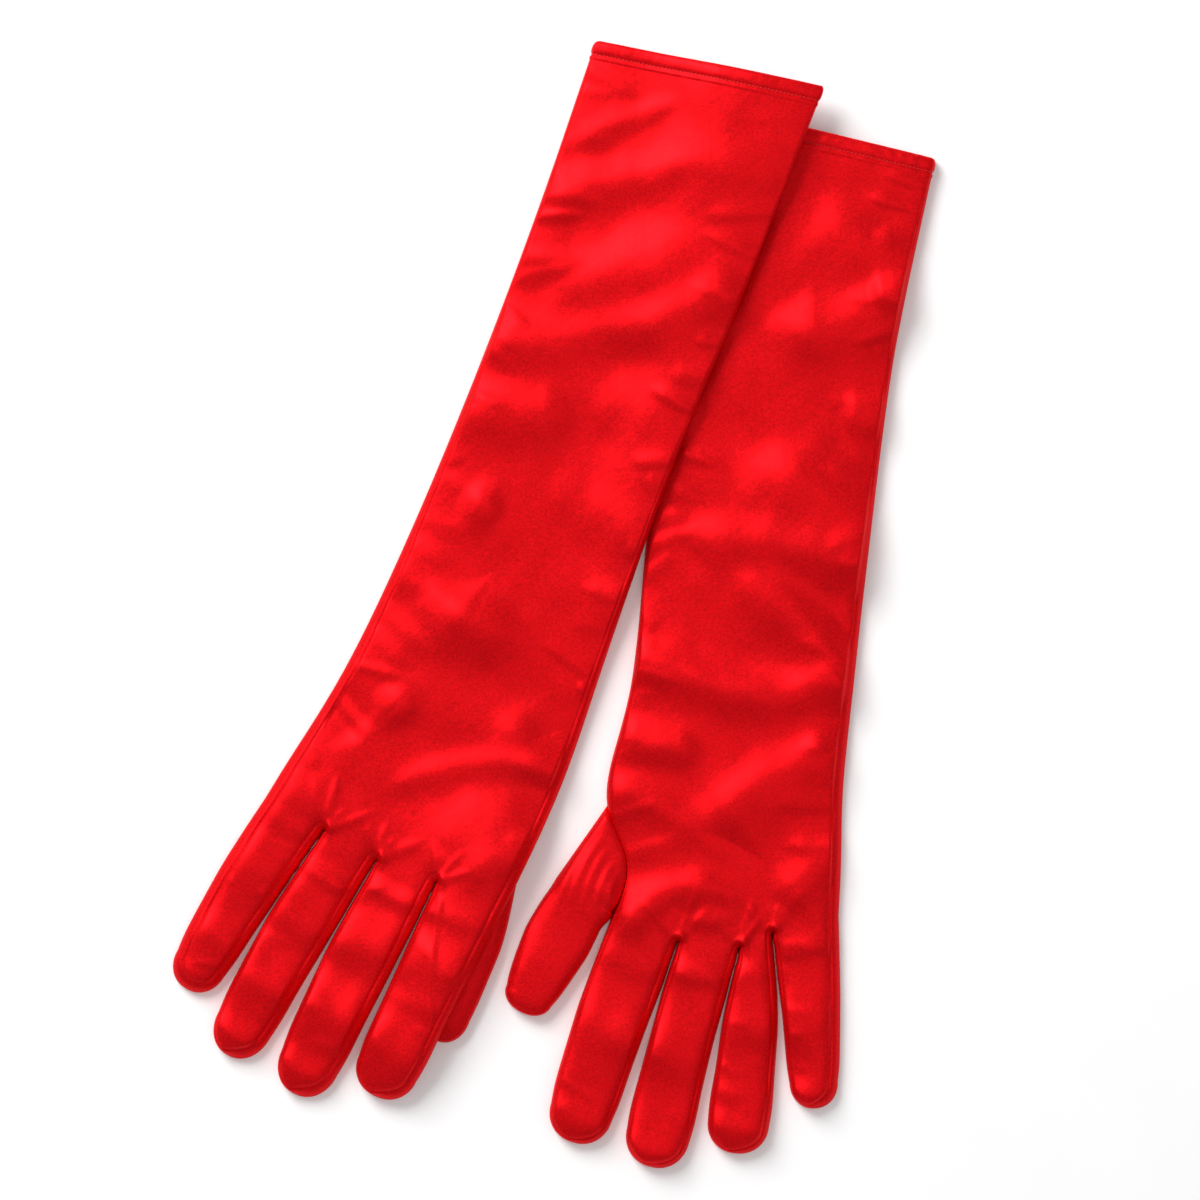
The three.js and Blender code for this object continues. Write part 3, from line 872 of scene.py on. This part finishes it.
def add_creases(glove):
    """The glove's folds, then the puckers along seams, at webs and across fingers."""
    strength = bpy.context.scene.glove_shape.fold_strength
    sleeve = glove.sleeve
    for points, height, wide, lean in FOLDS[glove.side]:
        line = [sleeve.point(run, share) for run, share in points]
        open_start, open_end = (abs(points[end][1] - 0.5) > OPEN_FROM_MIDDLE
                                for end in (0, -1))
        glove.creases.append(
            Crease(line, height * strength, wide, lean, open_start, open_end))
    chance = np.random.default_rng(5 if glove.side == "right" else 8)
    total = sleeve.run[-1]
    for edge, inward in ((0.0, 1.0), (1.0, -1.0)):
        run = 14.0
        while run < total - 30.0:
            reach = chance.uniform(0.08, 0.34)
            slant = chance.uniform(-14.0, 14.0)
            start = sleeve.point(run, edge + inward * 0.012)
            end = sleeve.point(np.clip(run + slant, 0, total), edge + inward * reach)
            height = chance.uniform(0.3, 1.2) * strength
            glove.creases.append(
                Crease([start, end], height, chance.uniform(2.2, 4.6), 1.4, True))
            run += chance.uniform(10.0, 26.0)
    for web in glove.webs[1:-1]:
        back = unit(sleeve.point(total - 60.0, 0.5) - sleeve.point(total, 0.5))
        side = np.array([-back[1], back[0]])
        turns = np.linspace(0, math.pi, 11)[:, None]
        loop = web + LOOP_RADIUS * (np.cos(turns) * side + np.sin(turns) * back)
        down = np.linspace(*LOOP_LEGS, 5)[:, None] * back
        loop = np.vstack([loop[0] - down, loop, loop[-1] - down[::-1]])
        glove.creases.append(Crease(loop, 0.8 * strength, 1.3, 1.0))
        for number in range(4):
            turn = (number - 1.5) * 0.42 + chance.uniform(-0.1, 0.1)
            reach = chance.uniform(14.0, 30.0)
            way = back * math.cos(turn) + side * math.sin(turn)
            end = web + way * reach
            start = web + way * 3.0
            height = chance.uniform(0.45, 0.95) * strength
            glove.creases.append(
                Crease([start, end], height, chance.uniform(1.7, 3.0), 1.2, True))
    for name, limb in glove.fingers.items():
        for place, height, wide, slant in FINGER_FOLDS[glove.side][name]:
            run = place * limb.length
            points = [limb.point(run - slant / 2, -0.04), limb.point(run + 1.5, 0.5),
                      limb.point(run + slant / 2, 1.04)]
            glove.creases.append(
                Crease(points, height * strength, wide, 1.0, open_start=True, open_end=True))
        for _ in range(4):
            run = chance.uniform(0.1, 0.9) * limb.length
            edge = chance.choice([0.08, 0.86])
            points = [limb.point(run, edge),
                      limb.point(run + chance.uniform(-6, 6), 0.5 + chance.uniform(-0.2, 0.2))]
            height = chance.uniform(0.2, 0.5) * strength
            glove.creases.append(Crease(points, height, chance.uniform(1.4, 2.6), 1.3, True))
    if glove.side == "right":
        limb = glove.fingers["index"]
        over_thumb = [limb.point(6.0, 0.16), limb.point(38.0, 0.5), limb.point(65.0, 0.97)]
        glove.creases.append(Crease(over_thumb, 0.8 * strength, 1.2, 1.6, True, True))


def hand_profile():
    """Crown and its reach for each row of the sleeve and hand."""
    towards = smooth((np.linspace(0, 1, SLEEVE_ROWS) - 0.88) / 0.12)
    crown = lerp(HAND_CROWN, FINGER_CROWN, towards)
    reach = lerp(HAND_CROWN_REACH, FINGER_CROWN_REACH, towards)
    return crown, reach


def back_grid(glove, rows):
    """The points of the back between its side seams, for some rows of the sleeve."""
    sleeve = glove.sleeve
    ends = glove.knuckle_line()
    count = len(ends)
    across = (sleeve.right - sleeve.left) / sleeve.width[:, None]
    seam_left = sleeve.left + across * sleeve.strips[:, :1]
    seam_right = sleeve.right - across * sleeve.strips[:, 1:]
    last = seam_right[-1] - seam_left[-1]
    matched = ((ends - seam_left[-1]) @ last) / (last @ last)
    even = np.linspace(0, 1, count)
    even = 0.85 * even + 0.15 * (1 - np.cos(math.pi * even)) / 2
    t = rows / (SLEEVE_ROWS - 1)
    share = lerp(even, matched, smooth((t - 0.5) / 0.5)[:, None])
    wide = (seam_right - seam_left)[rows]
    plan = seam_left[rows][:, None] + share[..., None] * wide[:, None]
    offset = ends - (seam_left[-1] + matched[:, None] * last)
    plan = plan + smooth((t - 0.74) / 0.26)[:, None, None] * offset
    left = sleeve.strips[rows, :1] + share * np.linalg.norm(wide, axis=1)[:, None]
    right = sleeve.strips[rows, 1:] + (1 - share) * np.linalg.norm(wide, axis=1)[:, None]
    distances = [left, right]
    strips = [np.broadcast_to(sleeve.strips[rows, :1], share.shape),
              np.broadcast_to(sleeve.strips[rows, 1:], share.shape)]
    for number, web in enumerate(glove.webs[1:-1]):
        away = np.linalg.norm(plan - web, axis=-1)
        before = glove.fingers[glove.names[number]].strips[0][1]
        after = glove.fingers[glove.names[number + 1]].strips[0][0]
        side = (plan - web) @ unit(glove.webs[-1] - glove.webs[0])
        strip = lerp(before, after, smooth(0.5 + side / 6.0))
        distances.append(away)
        strips.append(strip)
    inside = soft_least(*distances)
    weights = [np.exp(-d / ROUNDING) for d in distances]
    strip = sum(w * s for w, s in zip(weights, strips)) / sum(weights)
    crown, reach = hand_profile()
    top = top_of(glove, plan, inside, strip, crown[rows][:, None], reach[rows][:, None])
    return np.concatenate([plan, top[..., None]], -1)


def across_limb(limb, place):
    """Plan points of a limb at distances from its left edge, row by row."""
    across = (limb.right - limb.left) / np.maximum(limb.width, 1e-9)[:, None]
    return limb.left[:, None] + place[..., None] * across[:, None]


def inside_limb(limb, u):
    """Distance inside a limb's outline, for places from -1 to 1 across it."""
    rounding = limb.rounding[:, None]
    wide = np.where(rounding > 0, limb.turn_width, limb.width[:, None] / 2)
    far = np.sqrt(rounding ** 2 + u ** 2 * (1 - rounding ** 2))
    return soft_least(wide * (1 - far), wide * (1 + far))


def finger_grid(glove, limb, kind, values):
    """Points of a finger's back or of one of its sides, at shares across it."""
    if kind == "back":
        low = limb.strips[:, :1]
        room = (limb.width - limb.strips.sum(1))[:, None]
        place = low + values[None, :] * room
    elif kind == "left":
        place = values[None, :] * limb.strips[:, :1]
    else:
        place = limb.width[:, None] - values[None, :] * limb.strips[:, 1:]
    plan = across_limb(limb, place)
    half = np.maximum(limb.width / 2, 1e-9)[:, None]
    u = np.where(limb.width[:, None] < 1e-6, 0.0, (place - half) / half)
    inside = np.where(limb.rounding[:, None] >= 1 - 1e-9, 0.0, inside_limb(limb, u))
    strip = lerp(limb.feet[:, :1], limb.feet[:, 1:], smooth(0.5 + 0.9 * u))
    top = top_of(glove, plan, inside, strip, FINGER_CROWN, FINGER_CROWN_REACH)
    return np.concatenate([plan, top[..., None]], -1)


def lower_side(glove, left, right, which):
    """The lower half of a side, row by row, from the edge to the underside."""
    wide = right - left
    width = np.linalg.norm(wide, axis=1)
    across = wide / np.maximum(width, 1e-9)[:, None]
    columns = []
    for distance, height in LOWER_SIDE:
        step = np.minimum(distance, 0.45 * width)[:, None]
        plan = left + across * step if which == "left" else right - across * step
        columns.append(np.column_stack([plan, glove.lift(plan) + height]))
    return np.stack(columns, 1)


def under_grid(glove, left, right, count):
    """The flat underside between the two lower sides."""
    wide = right - left
    width = np.linalg.norm(wide, axis=1)
    across = wide / np.maximum(width, 1e-9)[:, None]
    step = np.minimum(LOWER_SIDE[-1][0], 0.45 * width)[:, None]
    first, last = left + across * step, right - across * step
    share = np.linspace(0, 1, count + 1)[None, :, None]
    plan = first[:, None] + share * (last - first)[:, None]
    from_edges = smooth(share[..., 0] * (1 - share[..., 0]) * 30)
    rise = UNDERSIDE + 0.10 * (1 + ripple(plan, 21, 24.0)) * from_edges
    return np.concatenate([plan, (glove.lift(plan) + rise)[..., None]], -1)


def build_sleeve(glove):
    """Back and palm of one sleeve and hand."""
    side = glove.side
    sleeve = glove.sleeve
    rows = np.arange(int(np.searchsorted(sleeve.run, HEM_WIDTH)), SLEEVE_ROWS)
    grid = back_grid(glove, rows)
    back = satin_sheet(f"{side}_back_cloth", grid, [f"{side}_back_panel"], flip=True)
    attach(back, f"{side}_glove")

    strips = side_strips(glove, rows, grid)
    left, right = sleeve.left[rows], sleeve.right[rows]
    bent = smooth((rows / (SLEEVE_ROWS - 1) - 0.74) / 0.26)[:, None, None]
    under = under_grid(glove, left, right, UNDER_COLUMNS)
    share = np.linspace(0, 1, UNDER_COLUMNS + 1)
    places = np.linalg.norm(np.diff(glove.webs, axis=0), axis=1)
    along = np.concatenate([[0], np.cumsum(places)]) / places.sum()
    ends = np.stack([np.interp(share, along, glove.webs[:, i]) for i in range(2)], 1)
    offset = ends - lerp(left[-1], right[-1], share[:, None])
    under[..., :2] += bent * offset
    whole = np.concatenate([
        strips["left"][:, ::-1], lower_side(glove, left, right, "left")[:, 1:],
        under[:, 1:-1],
        lower_side(glove, left, right, "right")[:, ::-1][:, :-1], strips["right"]], 1)
    palm = satin_sheet(f"{side}_palm_cloth", whole, [
        f"{side}_palm_panel", f"{side}_outer_side", f"{side}_inner_side"])
    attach(palm, f"{side}_glove")


def side_strips(glove, rows, back):
    """The upper halves of the two sides, from the edge to the back's seam."""
    sleeve = glove.sleeve
    crown, reach = hand_profile()
    share = np.linspace(0, 1, STRIP_COLUMNS + 1) ** 1.3
    made = {}
    for number, name in enumerate(("left", "right")):
        place = share[None, :] * sleeve.strips[rows, number][:, None]
        start = sleeve.left[rows] if number == 0 else sleeve.right[rows]
        seam = back[:, -number]
        plan = start[:, None] + share[None, :, None] * (seam[:, :2] - start)[:, None]
        other = sleeve.width[rows][:, None] - place
        inside = soft_least(place, other)
        strip = np.broadcast_to(sleeve.strips[rows, number][:, None], place.shape)
        top = top_of(glove, plan, inside, strip, crown[rows][:, None], reach[rows][:, None])
        made[name] = np.concatenate([plan, top[..., None]], -1)
        made[name][:, -1] = seam
    return made


def build_finger(glove, number, name):
    """Back, palm and side strips of one finger."""
    side = glove.side
    limb = glove.fingers[name]
    body, hand = f"{side}_{name}", f"{side}_glove"
    last = len(glove.names) - 1
    share = np.linspace(0, 1, STRIP_COLUMNS + 1)
    strips, lower = {}, {}
    for which in ("left", "right"):
        strips[which] = finger_grid(glove, limb, which, share)
        lower[which] = lower_side(glove, limb.left, limb.right, which)
    back = finger_grid(glove, limb, "back", column_shares())
    made = [satin_sheet(f"{body}_back_cloth", back, [f"{body}_back"], flip=True)]
    palm = [under_grid(glove, limb.left, limb.right, FINGER_UNDER_COLUMNS)]
    neighbours = {}
    if number > 0:
        neighbours["left"] = glove.names[number - 1]
    if number < last:
        neighbours["right"] = glove.names[number + 1]
    for which, neighbour in neighbours.items():
        wall = np.concatenate([lower[which][:, ::-1][:, :-1], strips[which]], 1)
        node = f"{body}_fourchette_to_{neighbour}"
        made.append(satin_sheet(f"{node}_cloth", wall, [node], flip=which == "left"))
    if "left" not in neighbours:
        palm = [strips["left"][:, ::-1], lower["left"][:, 1:-1]] + palm
    if "right" not in neighbours:
        palm = palm + [lower["right"][:, ::-1][:, 1:-1], strips["right"]]
    palm = np.concatenate(palm, 1)
    made.append(satin_sheet(f"{body}_palm_cloth", palm, [f"{body}_palm"]))
    low, high = glove.webs[number:number + 2]
    along = unit(high - low)
    onward = np.array([along[1], -along[0]])
    ends = [np.append((low + high) / 2 + run * onward, SEAM_HEIGHT) for run in FINGER_BEND]
    for thing in made:
        bend(thing, hand, body, *ends)


def build_hem(glove):
    """The puffed, gathered band round the cuff's opening, and its row of stitches."""
    side = glove.side
    grid = np.stack([hem_ring(glove, run, puff) for run, puff in HEM_SECTION])
    rows, columns, _ = grid.shape
    faces = [face[::-1] for face in grid_faces(rows, columns, closed=True)]
    band = add_mesh(f"{side}_hem_band", grid.reshape(-1, 3), faces, material_for("satin"))
    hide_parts(f"{side}_hem_casing", f"{side}_hem_elastic")
    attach(band, f"{side}_glove")
    stitches = build_stitches(glove)
    declare(np.concatenate([grid, grid[:, :1]], 1))


def hem_ring(glove, run, puff):
    """One line round the cuff at a run from its edge, raised by a puff."""
    sleeve = glove.sleeve
    row = np.interp(run, sleeve.run, np.arange(SLEEVE_ROWS))
    low = int(row)
    grids = []
    for i in (low, low + 1):
        rows = np.array([i])
        back = back_grid(glove, rows)
        strips = side_strips(glove, rows, back)
        left, right = sleeve.left[rows], sleeve.right[rows]
        under = under_grid(glove, left, right, UNDER_COLUMNS)
        loop = np.concatenate([
            strips["left"][:, :-1], back, strips["right"][:, ::-1][:, 1:],
            lower_side(glove, left, right, "right")[:, 1:], under[:, ::-1][:, 1:-1],
            lower_side(glove, left, right, "left")[:, ::-1][:, :-1]], 1)[0]
        grids.append(loop)
    ring = lerp(grids[0], grids[1], row - low)
    centre = ring.mean(0)
    following = np.roll(ring, -1, 0) - np.roll(ring, 1, 0)
    ahead = sleeve.left[6] + sleeve.right[6] - sleeve.left[0] - sleeve.right[0]
    forward = unit(np.append(ahead, 0))
    out = np.cross(forward, following)
    out /= np.linalg.norm(out, axis=1)[:, None] + 1e-9
    out *= np.sign((out * (ring - centre)).sum(1).mean())
    around = np.concatenate([[0], np.cumsum(np.linalg.norm(np.diff(ring, axis=0), axis=1))])
    chance = np.random.default_rng(31 if glove.side == "right" else 37)
    gather = np.zeros(len(ring))
    for _ in range(7):
        wave = 2 * math.pi / chance.uniform(4.5, 11.0)
        gather += np.sin(around * wave + chance.uniform(0, 6.28)) / 7
    under = ring[:, 2] - glove.lift(ring[:, :2]) < 1.0
    raise_by = puff * (1 + 0.3 * gather) + 0.05 * gather * (puff != 0)
    limit = np.where(under, np.clip(raise_by, -2.4, 0.2), raise_by)
    moved = ring + out * limit[:, None]
    if puff < 0:
        moved[:, 2] = np.where(under, ring[:, 2] + 0.6 + 0.1 * gather, moved[:, 2])
    floor = glove.lift(moved[:, :2]) + 0.12
    moved[:, 2] = np.maximum(moved[:, 2], floor)
    return moved


def build_stitches(glove):
    """Short stitches in a row round the cuff, one raised bead of thread each."""
    pitch = bpy.context.scene.glove_shape.stitch_pitch / MM
    ring = hem_ring(glove, HEM_WIDTH - 0.6, 0.0)
    closed = np.vstack([ring, ring[:1]])
    steps = np.linalg.norm(np.diff(closed, axis=0), axis=1)
    around = np.concatenate([[0], np.cumsum(steps)])
    count = int(around[-1] / pitch)
    points, faces = [], []
    for number in range(count):
        places = (number + np.array([0.15, 0.85])) * around[-1] / count
        a, b = np.stack([np.interp(places, around, closed[:, i]) for i in range(3)], 1)
        way = unit(b - a)
        up = np.array([0.0, 0.0, 1.0]) if abs(way[2]) < 0.8 else np.array([0.0, 1.0, 0.0])
        side = unit(np.cross(up, way))
        up = np.cross(way, side)
        start = len(points)
        for j in range(STITCH_RINGS):
            t = j / (STITCH_RINGS - 1)
            thick = STITCH_THICKNESS * math.sin(math.pi * (0.08 + 0.84 * t)) ** 0.6
            place = lerp(a, b, t)
            for k in range(STITCH_SIDES):
                turn = 2 * math.pi * k / STITCH_SIDES
                round_it = math.cos(turn) * side + 0.75 * math.sin(turn) * up
                points.append(place + thick * round_it)
        faces += grid_faces(STITCH_RINGS, STITCH_SIDES, closed=True, start=start)
        end = start + (STITCH_RINGS - 1) * STITCH_SIDES
        faces.append(tuple(range(start, start + STITCH_SIDES))[::-1])
        faces.append(tuple(range(end, end + STITCH_SIDES)))
    thing = add_mesh(f"{glove.side}_hem_stitches", points, faces, material_for("thread"))
    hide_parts(f"{glove.side}_hem_stitching")
    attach(thing, f"{glove.side}_glove")
    return thing


class UnderThumb:
    """The right glove's thumb, which lies on the surface under the hand."""

    side = "right"
    names = ["thumb"]

    def __init__(self, hand):
        mesh = plan_mesh("right_thumb_palm")
        ahead, across = heading_of("right", "thumb")
        corners = base_corners("right", "thumb")
        base = (corners[0] + corners[1]) / 2
        corners[1] = corners[1] - 20.0 * ahead - 6.0 * across
        self.limb = finger_outline(mesh, base, ahead, across, corners, [1.6, 1.6], 46.0)
        self.covered_by = (hand, None)
        self.creases = []
        for share in (0.3, 0.55, 0.8):
            line = [self.limb.point(run, share) for run in (20.0, 70.0)]
            self.creases.append(Crease(line, 0.5, 2.0))

    def lift(self, plan):
        return np.zeros(np.shape(plan)[:-1])


def root_plan(limb, seam, columns):
    """Plan of the left thumb's set-in root, and how far it is from its edge and its seam."""
    share = np.linspace(0, 1, columns)
    steps = np.concatenate([[0], np.cumsum(np.linalg.norm(np.diff(seam, axis=0), axis=1))])
    first = np.stack([np.interp(share * steps[-1], steps, seam[:, i]) for i in range(2)], 1)
    last = lerp(limb.left[0], limb.right[0], share[:, None])
    rows = np.linspace(0, 1, ROOT_ROWS)[:-1]
    plan = first[None] + rows[:, None, None] * (last - first)[None]
    outer = unit(limb.left[0] - seam[0])
    outward = np.array([-outer[1], outer[0]])
    from_outer = np.abs((plan - seam[0]) @ outward)
    from_seam = np.abs(inside_edge(plan.reshape(-1, 2), np.repeat(seam, 6, axis=0)[3:-2]))
    return plan, from_outer, from_seam.reshape(from_outer.shape)


def build_left_thumb(glove):
    """Back and palm of the left thumb, set in at the side of the hand."""
    mesh = plan_mesh("left_thumb_palm")
    root, _ = plan_mesh("left_thumb_root_palm")
    ahead, across = heading_of("left", "thumb")
    corners = base_corners("left", "thumb")
    base = (corners[0] + corners[1]) / 2
    edge = glove.sleeve.left
    begin = np.linalg.norm(edge - root[root[:, 1].argmax(), :2], axis=1).argmin()
    end = np.linalg.norm(edge - corners[1], axis=1).argmin()
    seam = edge[begin:end + 1] + np.array([0.5, 0.0])
    corners[1] = seam[-1]
    limb = finger_outline(mesh, base, ahead, across, corners, THUMB_STRIPS)
    columns = THUMB_COLUMNS
    plan, from_outer, from_seam = root_plan(limb, seam, columns)
    opened = smooth(np.linspace(0, 1, ROOT_ROWS)[:-1] / 0.9)[:, None]
    share = np.linspace(0, 1, columns)[None]
    to_web = np.linalg.norm(plan - corners[1], axis=-1)
    inside = soft_least(from_outer, from_seam + 0.4, to_web)
    strip = lerp(SET_IN_STRIP, THUMB_STRIPS[0], opened * (1 - share))
    strip = np.broadcast_to(strip, inside.shape)
    outward_step = 2.5 * unit(corners[0] - corners[1])
    for turn in np.linspace(0.0, 1.0, 5):
        low_end = lerp(corners[1], corners[0], 0.06 + 0.62 * turn) + ahead * (2.0 + 16.0 * turn)
        high_end = seam[int((len(seam) - 1) * (0.62 - 0.5 * turn))] + outward_step
        bow = lerp(low_end, high_end, 0.5) + outward_step * (1.0 + turn)
        glove.creases.append(Crease([high_end, bow, low_end], 1.5 - 0.5 * turn, 2.1, 1.3))
    top = top_of(glove, plan, inside, strip, FINGER_CROWN, FINGER_CROWN_REACH)
    upper = np.concatenate([plan, top[..., None]], -1)
    back = np.concatenate([upper, whole_top(glove, limb)])
    low = np.concatenate([plan, np.full(inside.shape + (1,), UNDERSIDE)], -1)
    low[:, 0, 2] = EDGE_HEIGHT
    palm = np.concatenate([low, thumb_underside(glove, limb)])
    hinge = HINGES["left_thumb"]
    ends = [np.append(hinge + run * ahead, THUMB_BEND_HEIGHT) for run in THUMB_BEND]
    for name, grid, flip in (("back", back, True), ("palm", palm, False)):
        nodes = [f"left_thumb_{name}", f"left_thumb_root_{name}"]
        thing = satin_sheet(f"left_thumb_{name}_cloth", grid, nodes, flip=flip)
        bend(thing, "left_glove", "left_thumb", *ends)


def thumb_underside(glove, limb):
    """The underside of a thumb, out to the edges of its top."""
    under = under_grid(glove, limb.left, limb.right, THUMB_COLUMNS - 1)
    for column, which in ((0, "left"), (-1, "right")):
        under[:, column] = lower_side(glove, limb.left, limb.right, which)[:, 0]
    return under


def whole_top(glove, limb):
    """The top of a thumb from edge to edge."""
    share = np.linspace(0, 1, THUMB_COLUMNS)
    share = 0.6 * share + 0.4 * (1 - np.cos(math.pi * share)) / 2
    place = share[None] * limb.width[:, None]
    plan = across_limb(limb, place)
    inside = inside_limb(limb, np.broadcast_to(2 * share[None] - 1, place.shape))
    strip = np.full(place.shape, limb.strips[0].mean())
    top = top_of(glove, plan, inside, strip, FINGER_CROWN, FINGER_CROWN_REACH)
    return np.concatenate([plan, top[..., None]], -1)


def build_right_thumb(hand):
    """Back and palm of the right thumb, folded under the hand."""
    thumb = UnderThumb(hand)
    limb = thumb.limb
    back = whole_top(thumb, limb)
    under = thumb_underside(thumb, limb)
    for name, grid, flip in (("back", back, True), ("palm", under, False)):
        thing = satin_sheet(f"right_thumb_{name}_cloth", grid, [f"right_thumb_{name}"], flip=flip)
        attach(thing, "right_glove")


# ---------- Settings ----------

class GloveShape(bpy.types.PropertyGroup):
    """Sizes of the cloth's detail."""

    fold_strength: bpy.props.FloatProperty(
        name="Fold strength", description="How high the folds stand", default=1.0, min=0.0,
        max=2.0)
    stitch_pitch: bpy.props.FloatProperty(
        name="Stitch pitch", description="Distance from one hem stitch to the next",
        default=0.0018, min=0.001, max=0.005, precision=4, unit="LENGTH")


class GloveLooks(bpy.types.PropertyGroup):
    """Colours and gloss."""

    colour: bpy.props.FloatVectorProperty(
        name="Satin", description="Colour of the satin", subtype="COLOR", size=4, min=0, max=1,
        default=(0.76, 0.0035, 0.0072, 1.0))
    thread_colour: bpy.props.FloatVectorProperty(
        name="Thread", description="Colour of the hem's stitches", subtype="COLOR", size=4,
        min=0, max=1, default=(0.62, 0.004, 0.008, 1.0))
    roughness: bpy.props.FloatProperty(
        name="Roughness", description="How soft the satin's sheen is", default=0.48, min=0,
        max=1)


class StageSettings(bpy.types.PropertyGroup):
    """The floor, camera and lights."""

    camera_height: bpy.props.FloatProperty(
        name="Camera height", description="Distance from the surface to the camera",
        default=3.0, min=0.5, unit="LENGTH")
    view_width: bpy.props.FloatProperty(
        name="View width", description="Width of the view at the surface", default=0.54,
        min=0.1, unit="LENGTH")
    view_offset: bpy.props.FloatVectorProperty(
        name="View offset", description="Middle of the view from the middle of the pair",
        size=2, default=(0.0203, 0.0021), unit="LENGTH")


# ---------- Operators ----------

class GLOVES_OT_sleeves(bpy.types.Operator):
    """Make the back and palm of both sleeves and hands"""

    bl_idname = "gloves.sleeves"
    bl_label = "Sleeves and hands"

    def execute(self, context):
        for glove in gloves().values():
            build_sleeve(glove)
        return {"FINISHED"}


class GLOVES_OT_fingers(bpy.types.Operator):
    """Make the four fingers of both gloves, with the strips between them"""

    bl_idname = "gloves.fingers"
    bl_label = "Fingers"

    def execute(self, context):
        for glove in gloves().values():
            for number, name in enumerate(glove.names):
                build_finger(glove, number, name)
        return {"FINISHED"}


class GLOVES_OT_thumbs(bpy.types.Operator):
    """Make the left glove's thumb and the right glove's thumb under its hand"""

    bl_idname = "gloves.thumbs"
    bl_label = "Thumbs"

    def execute(self, context):
        build_left_thumb(gloves()["left"])
        build_right_thumb(gloves()["right"])
        return {"FINISHED"}


class GLOVES_OT_hems(bpy.types.Operator):
    """Make the gathered hem bands and their stitches"""

    bl_idname = "gloves.hems"
    bl_label = "Hems"

    def execute(self, context):
        for glove in gloves().values():
            build_hem(glove)
        return {"FINISHED"}


def area_light(name, place, size, power):
    """A square lamp that faces the middle of the pair."""
    data = bpy.data.lights.new(name, "AREA")
    data.size, data.energy = size, power
    lamp = bpy.data.objects.new(name, data)
    bpy.context.scene.collection.objects.link(lamp)
    lamp.location = place
    aim = -lamp.location.normalized()
    lamp.rotation_euler = aim.to_track_quat("-Z", "Y").to_euler()


class GLOVES_OT_stage(bpy.types.Operator):
    """Set out the pale surface, the lamps and the camera straight above"""

    bl_idname = "gloves.stage"
    bl_label = "Stage"

    def execute(self, context):
        scene = context.scene
        settings = scene.glove_stage
        corners = [(x * FLOOR_REACH, y * FLOOR_REACH, 0)
                   for x, y in ((-1, -1), (1, -1), (1, 1), (-1, 1))]
        floor = add_mesh("floor", corners, [(0, 1, 2, 3)], paper())
        floor.location.z = -0.0002
        low, high = CAD_BOX
        middle = (low + high) / 2
        data = bpy.data.cameras.new("camera")
        data.sensor_width = 36.0
        data.lens = data.sensor_width * settings.camera_height / settings.view_width
        camera = bpy.data.objects.new("camera", data)
        scene.collection.objects.link(camera)
        offset = settings.view_offset
        camera.location = (middle.x + offset[0], middle.y + offset[1], settings.camera_height)
        scene.camera = camera
        area_light("key_lamp", (-1.3, 1.7, 1.8), 1.5, 80.0)
        area_light("fill_lamp", (1.0, -0.4, 3.4), 1.6, 9.0)
        world = bpy.data.worlds.new("soft_room")
        world.use_nodes = True
        world.node_tree.nodes["Background"].inputs["Color"].default_value = (1, 1, 1, 1)
        world.node_tree.nodes["Background"].inputs["Strength"].default_value = 0.42
        scene.world = world
        scene.view_settings.view_transform = "Standard"
        return {"FINISHED"}


class GLOVES_PT_panel(bpy.types.Panel):
    """Everything that makes the pair"""

    bl_idname = "GLOVES_PT_panel"
    bl_label = "Opera Gloves"
    bl_space_type = "VIEW_3D"
    bl_region_type = "UI"
    bl_category = "Gloves"

    def draw(self, context):
        for operator in OPERATORS:
            self.layout.operator(operator.bl_idname)
        for group in (context.scene.glove_shape, context.scene.glove_looks,
                      context.scene.glove_stage):
            for name in type(group).__annotations__:
                self.layout.prop(group, name)


OPERATORS = (GLOVES_OT_stage, GLOVES_OT_sleeves, GLOVES_OT_fingers, GLOVES_OT_thumbs,
             GLOVES_OT_hems)
SETTINGS = {"glove_shape": GloveShape, "glove_looks": GloveLooks, "glove_stage": StageSettings}


def register():
    for group in SETTINGS.values():
        bpy.utils.register_class(group)
    for name, group in SETTINGS.items():
        setattr(bpy.types.Scene, name, bpy.props.PointerProperty(type=group))
    for operator in OPERATORS:
        bpy.utils.register_class(operator)
    bpy.utils.register_class(GLOVES_PT_panel)


def unregister():
    bpy.utils.unregister_class(GLOVES_PT_panel)
    for operator in reversed(OPERATORS):
        bpy.utils.unregister_class(operator)
    for name in SETTINGS:
        delattr(bpy.types.Scene, name)
    for group in reversed(SETTINGS.values()):
        bpy.utils.unregister_class(group)


def main():
    register()
    bpy.ops.gloves.stage()
    bpy.ops.gloves.sleeves()
    bpy.ops.gloves.fingers()
    bpy.ops.gloves.thumbs()
    bpy.ops.gloves.hems()


if __name__ == "__main__":
    main()
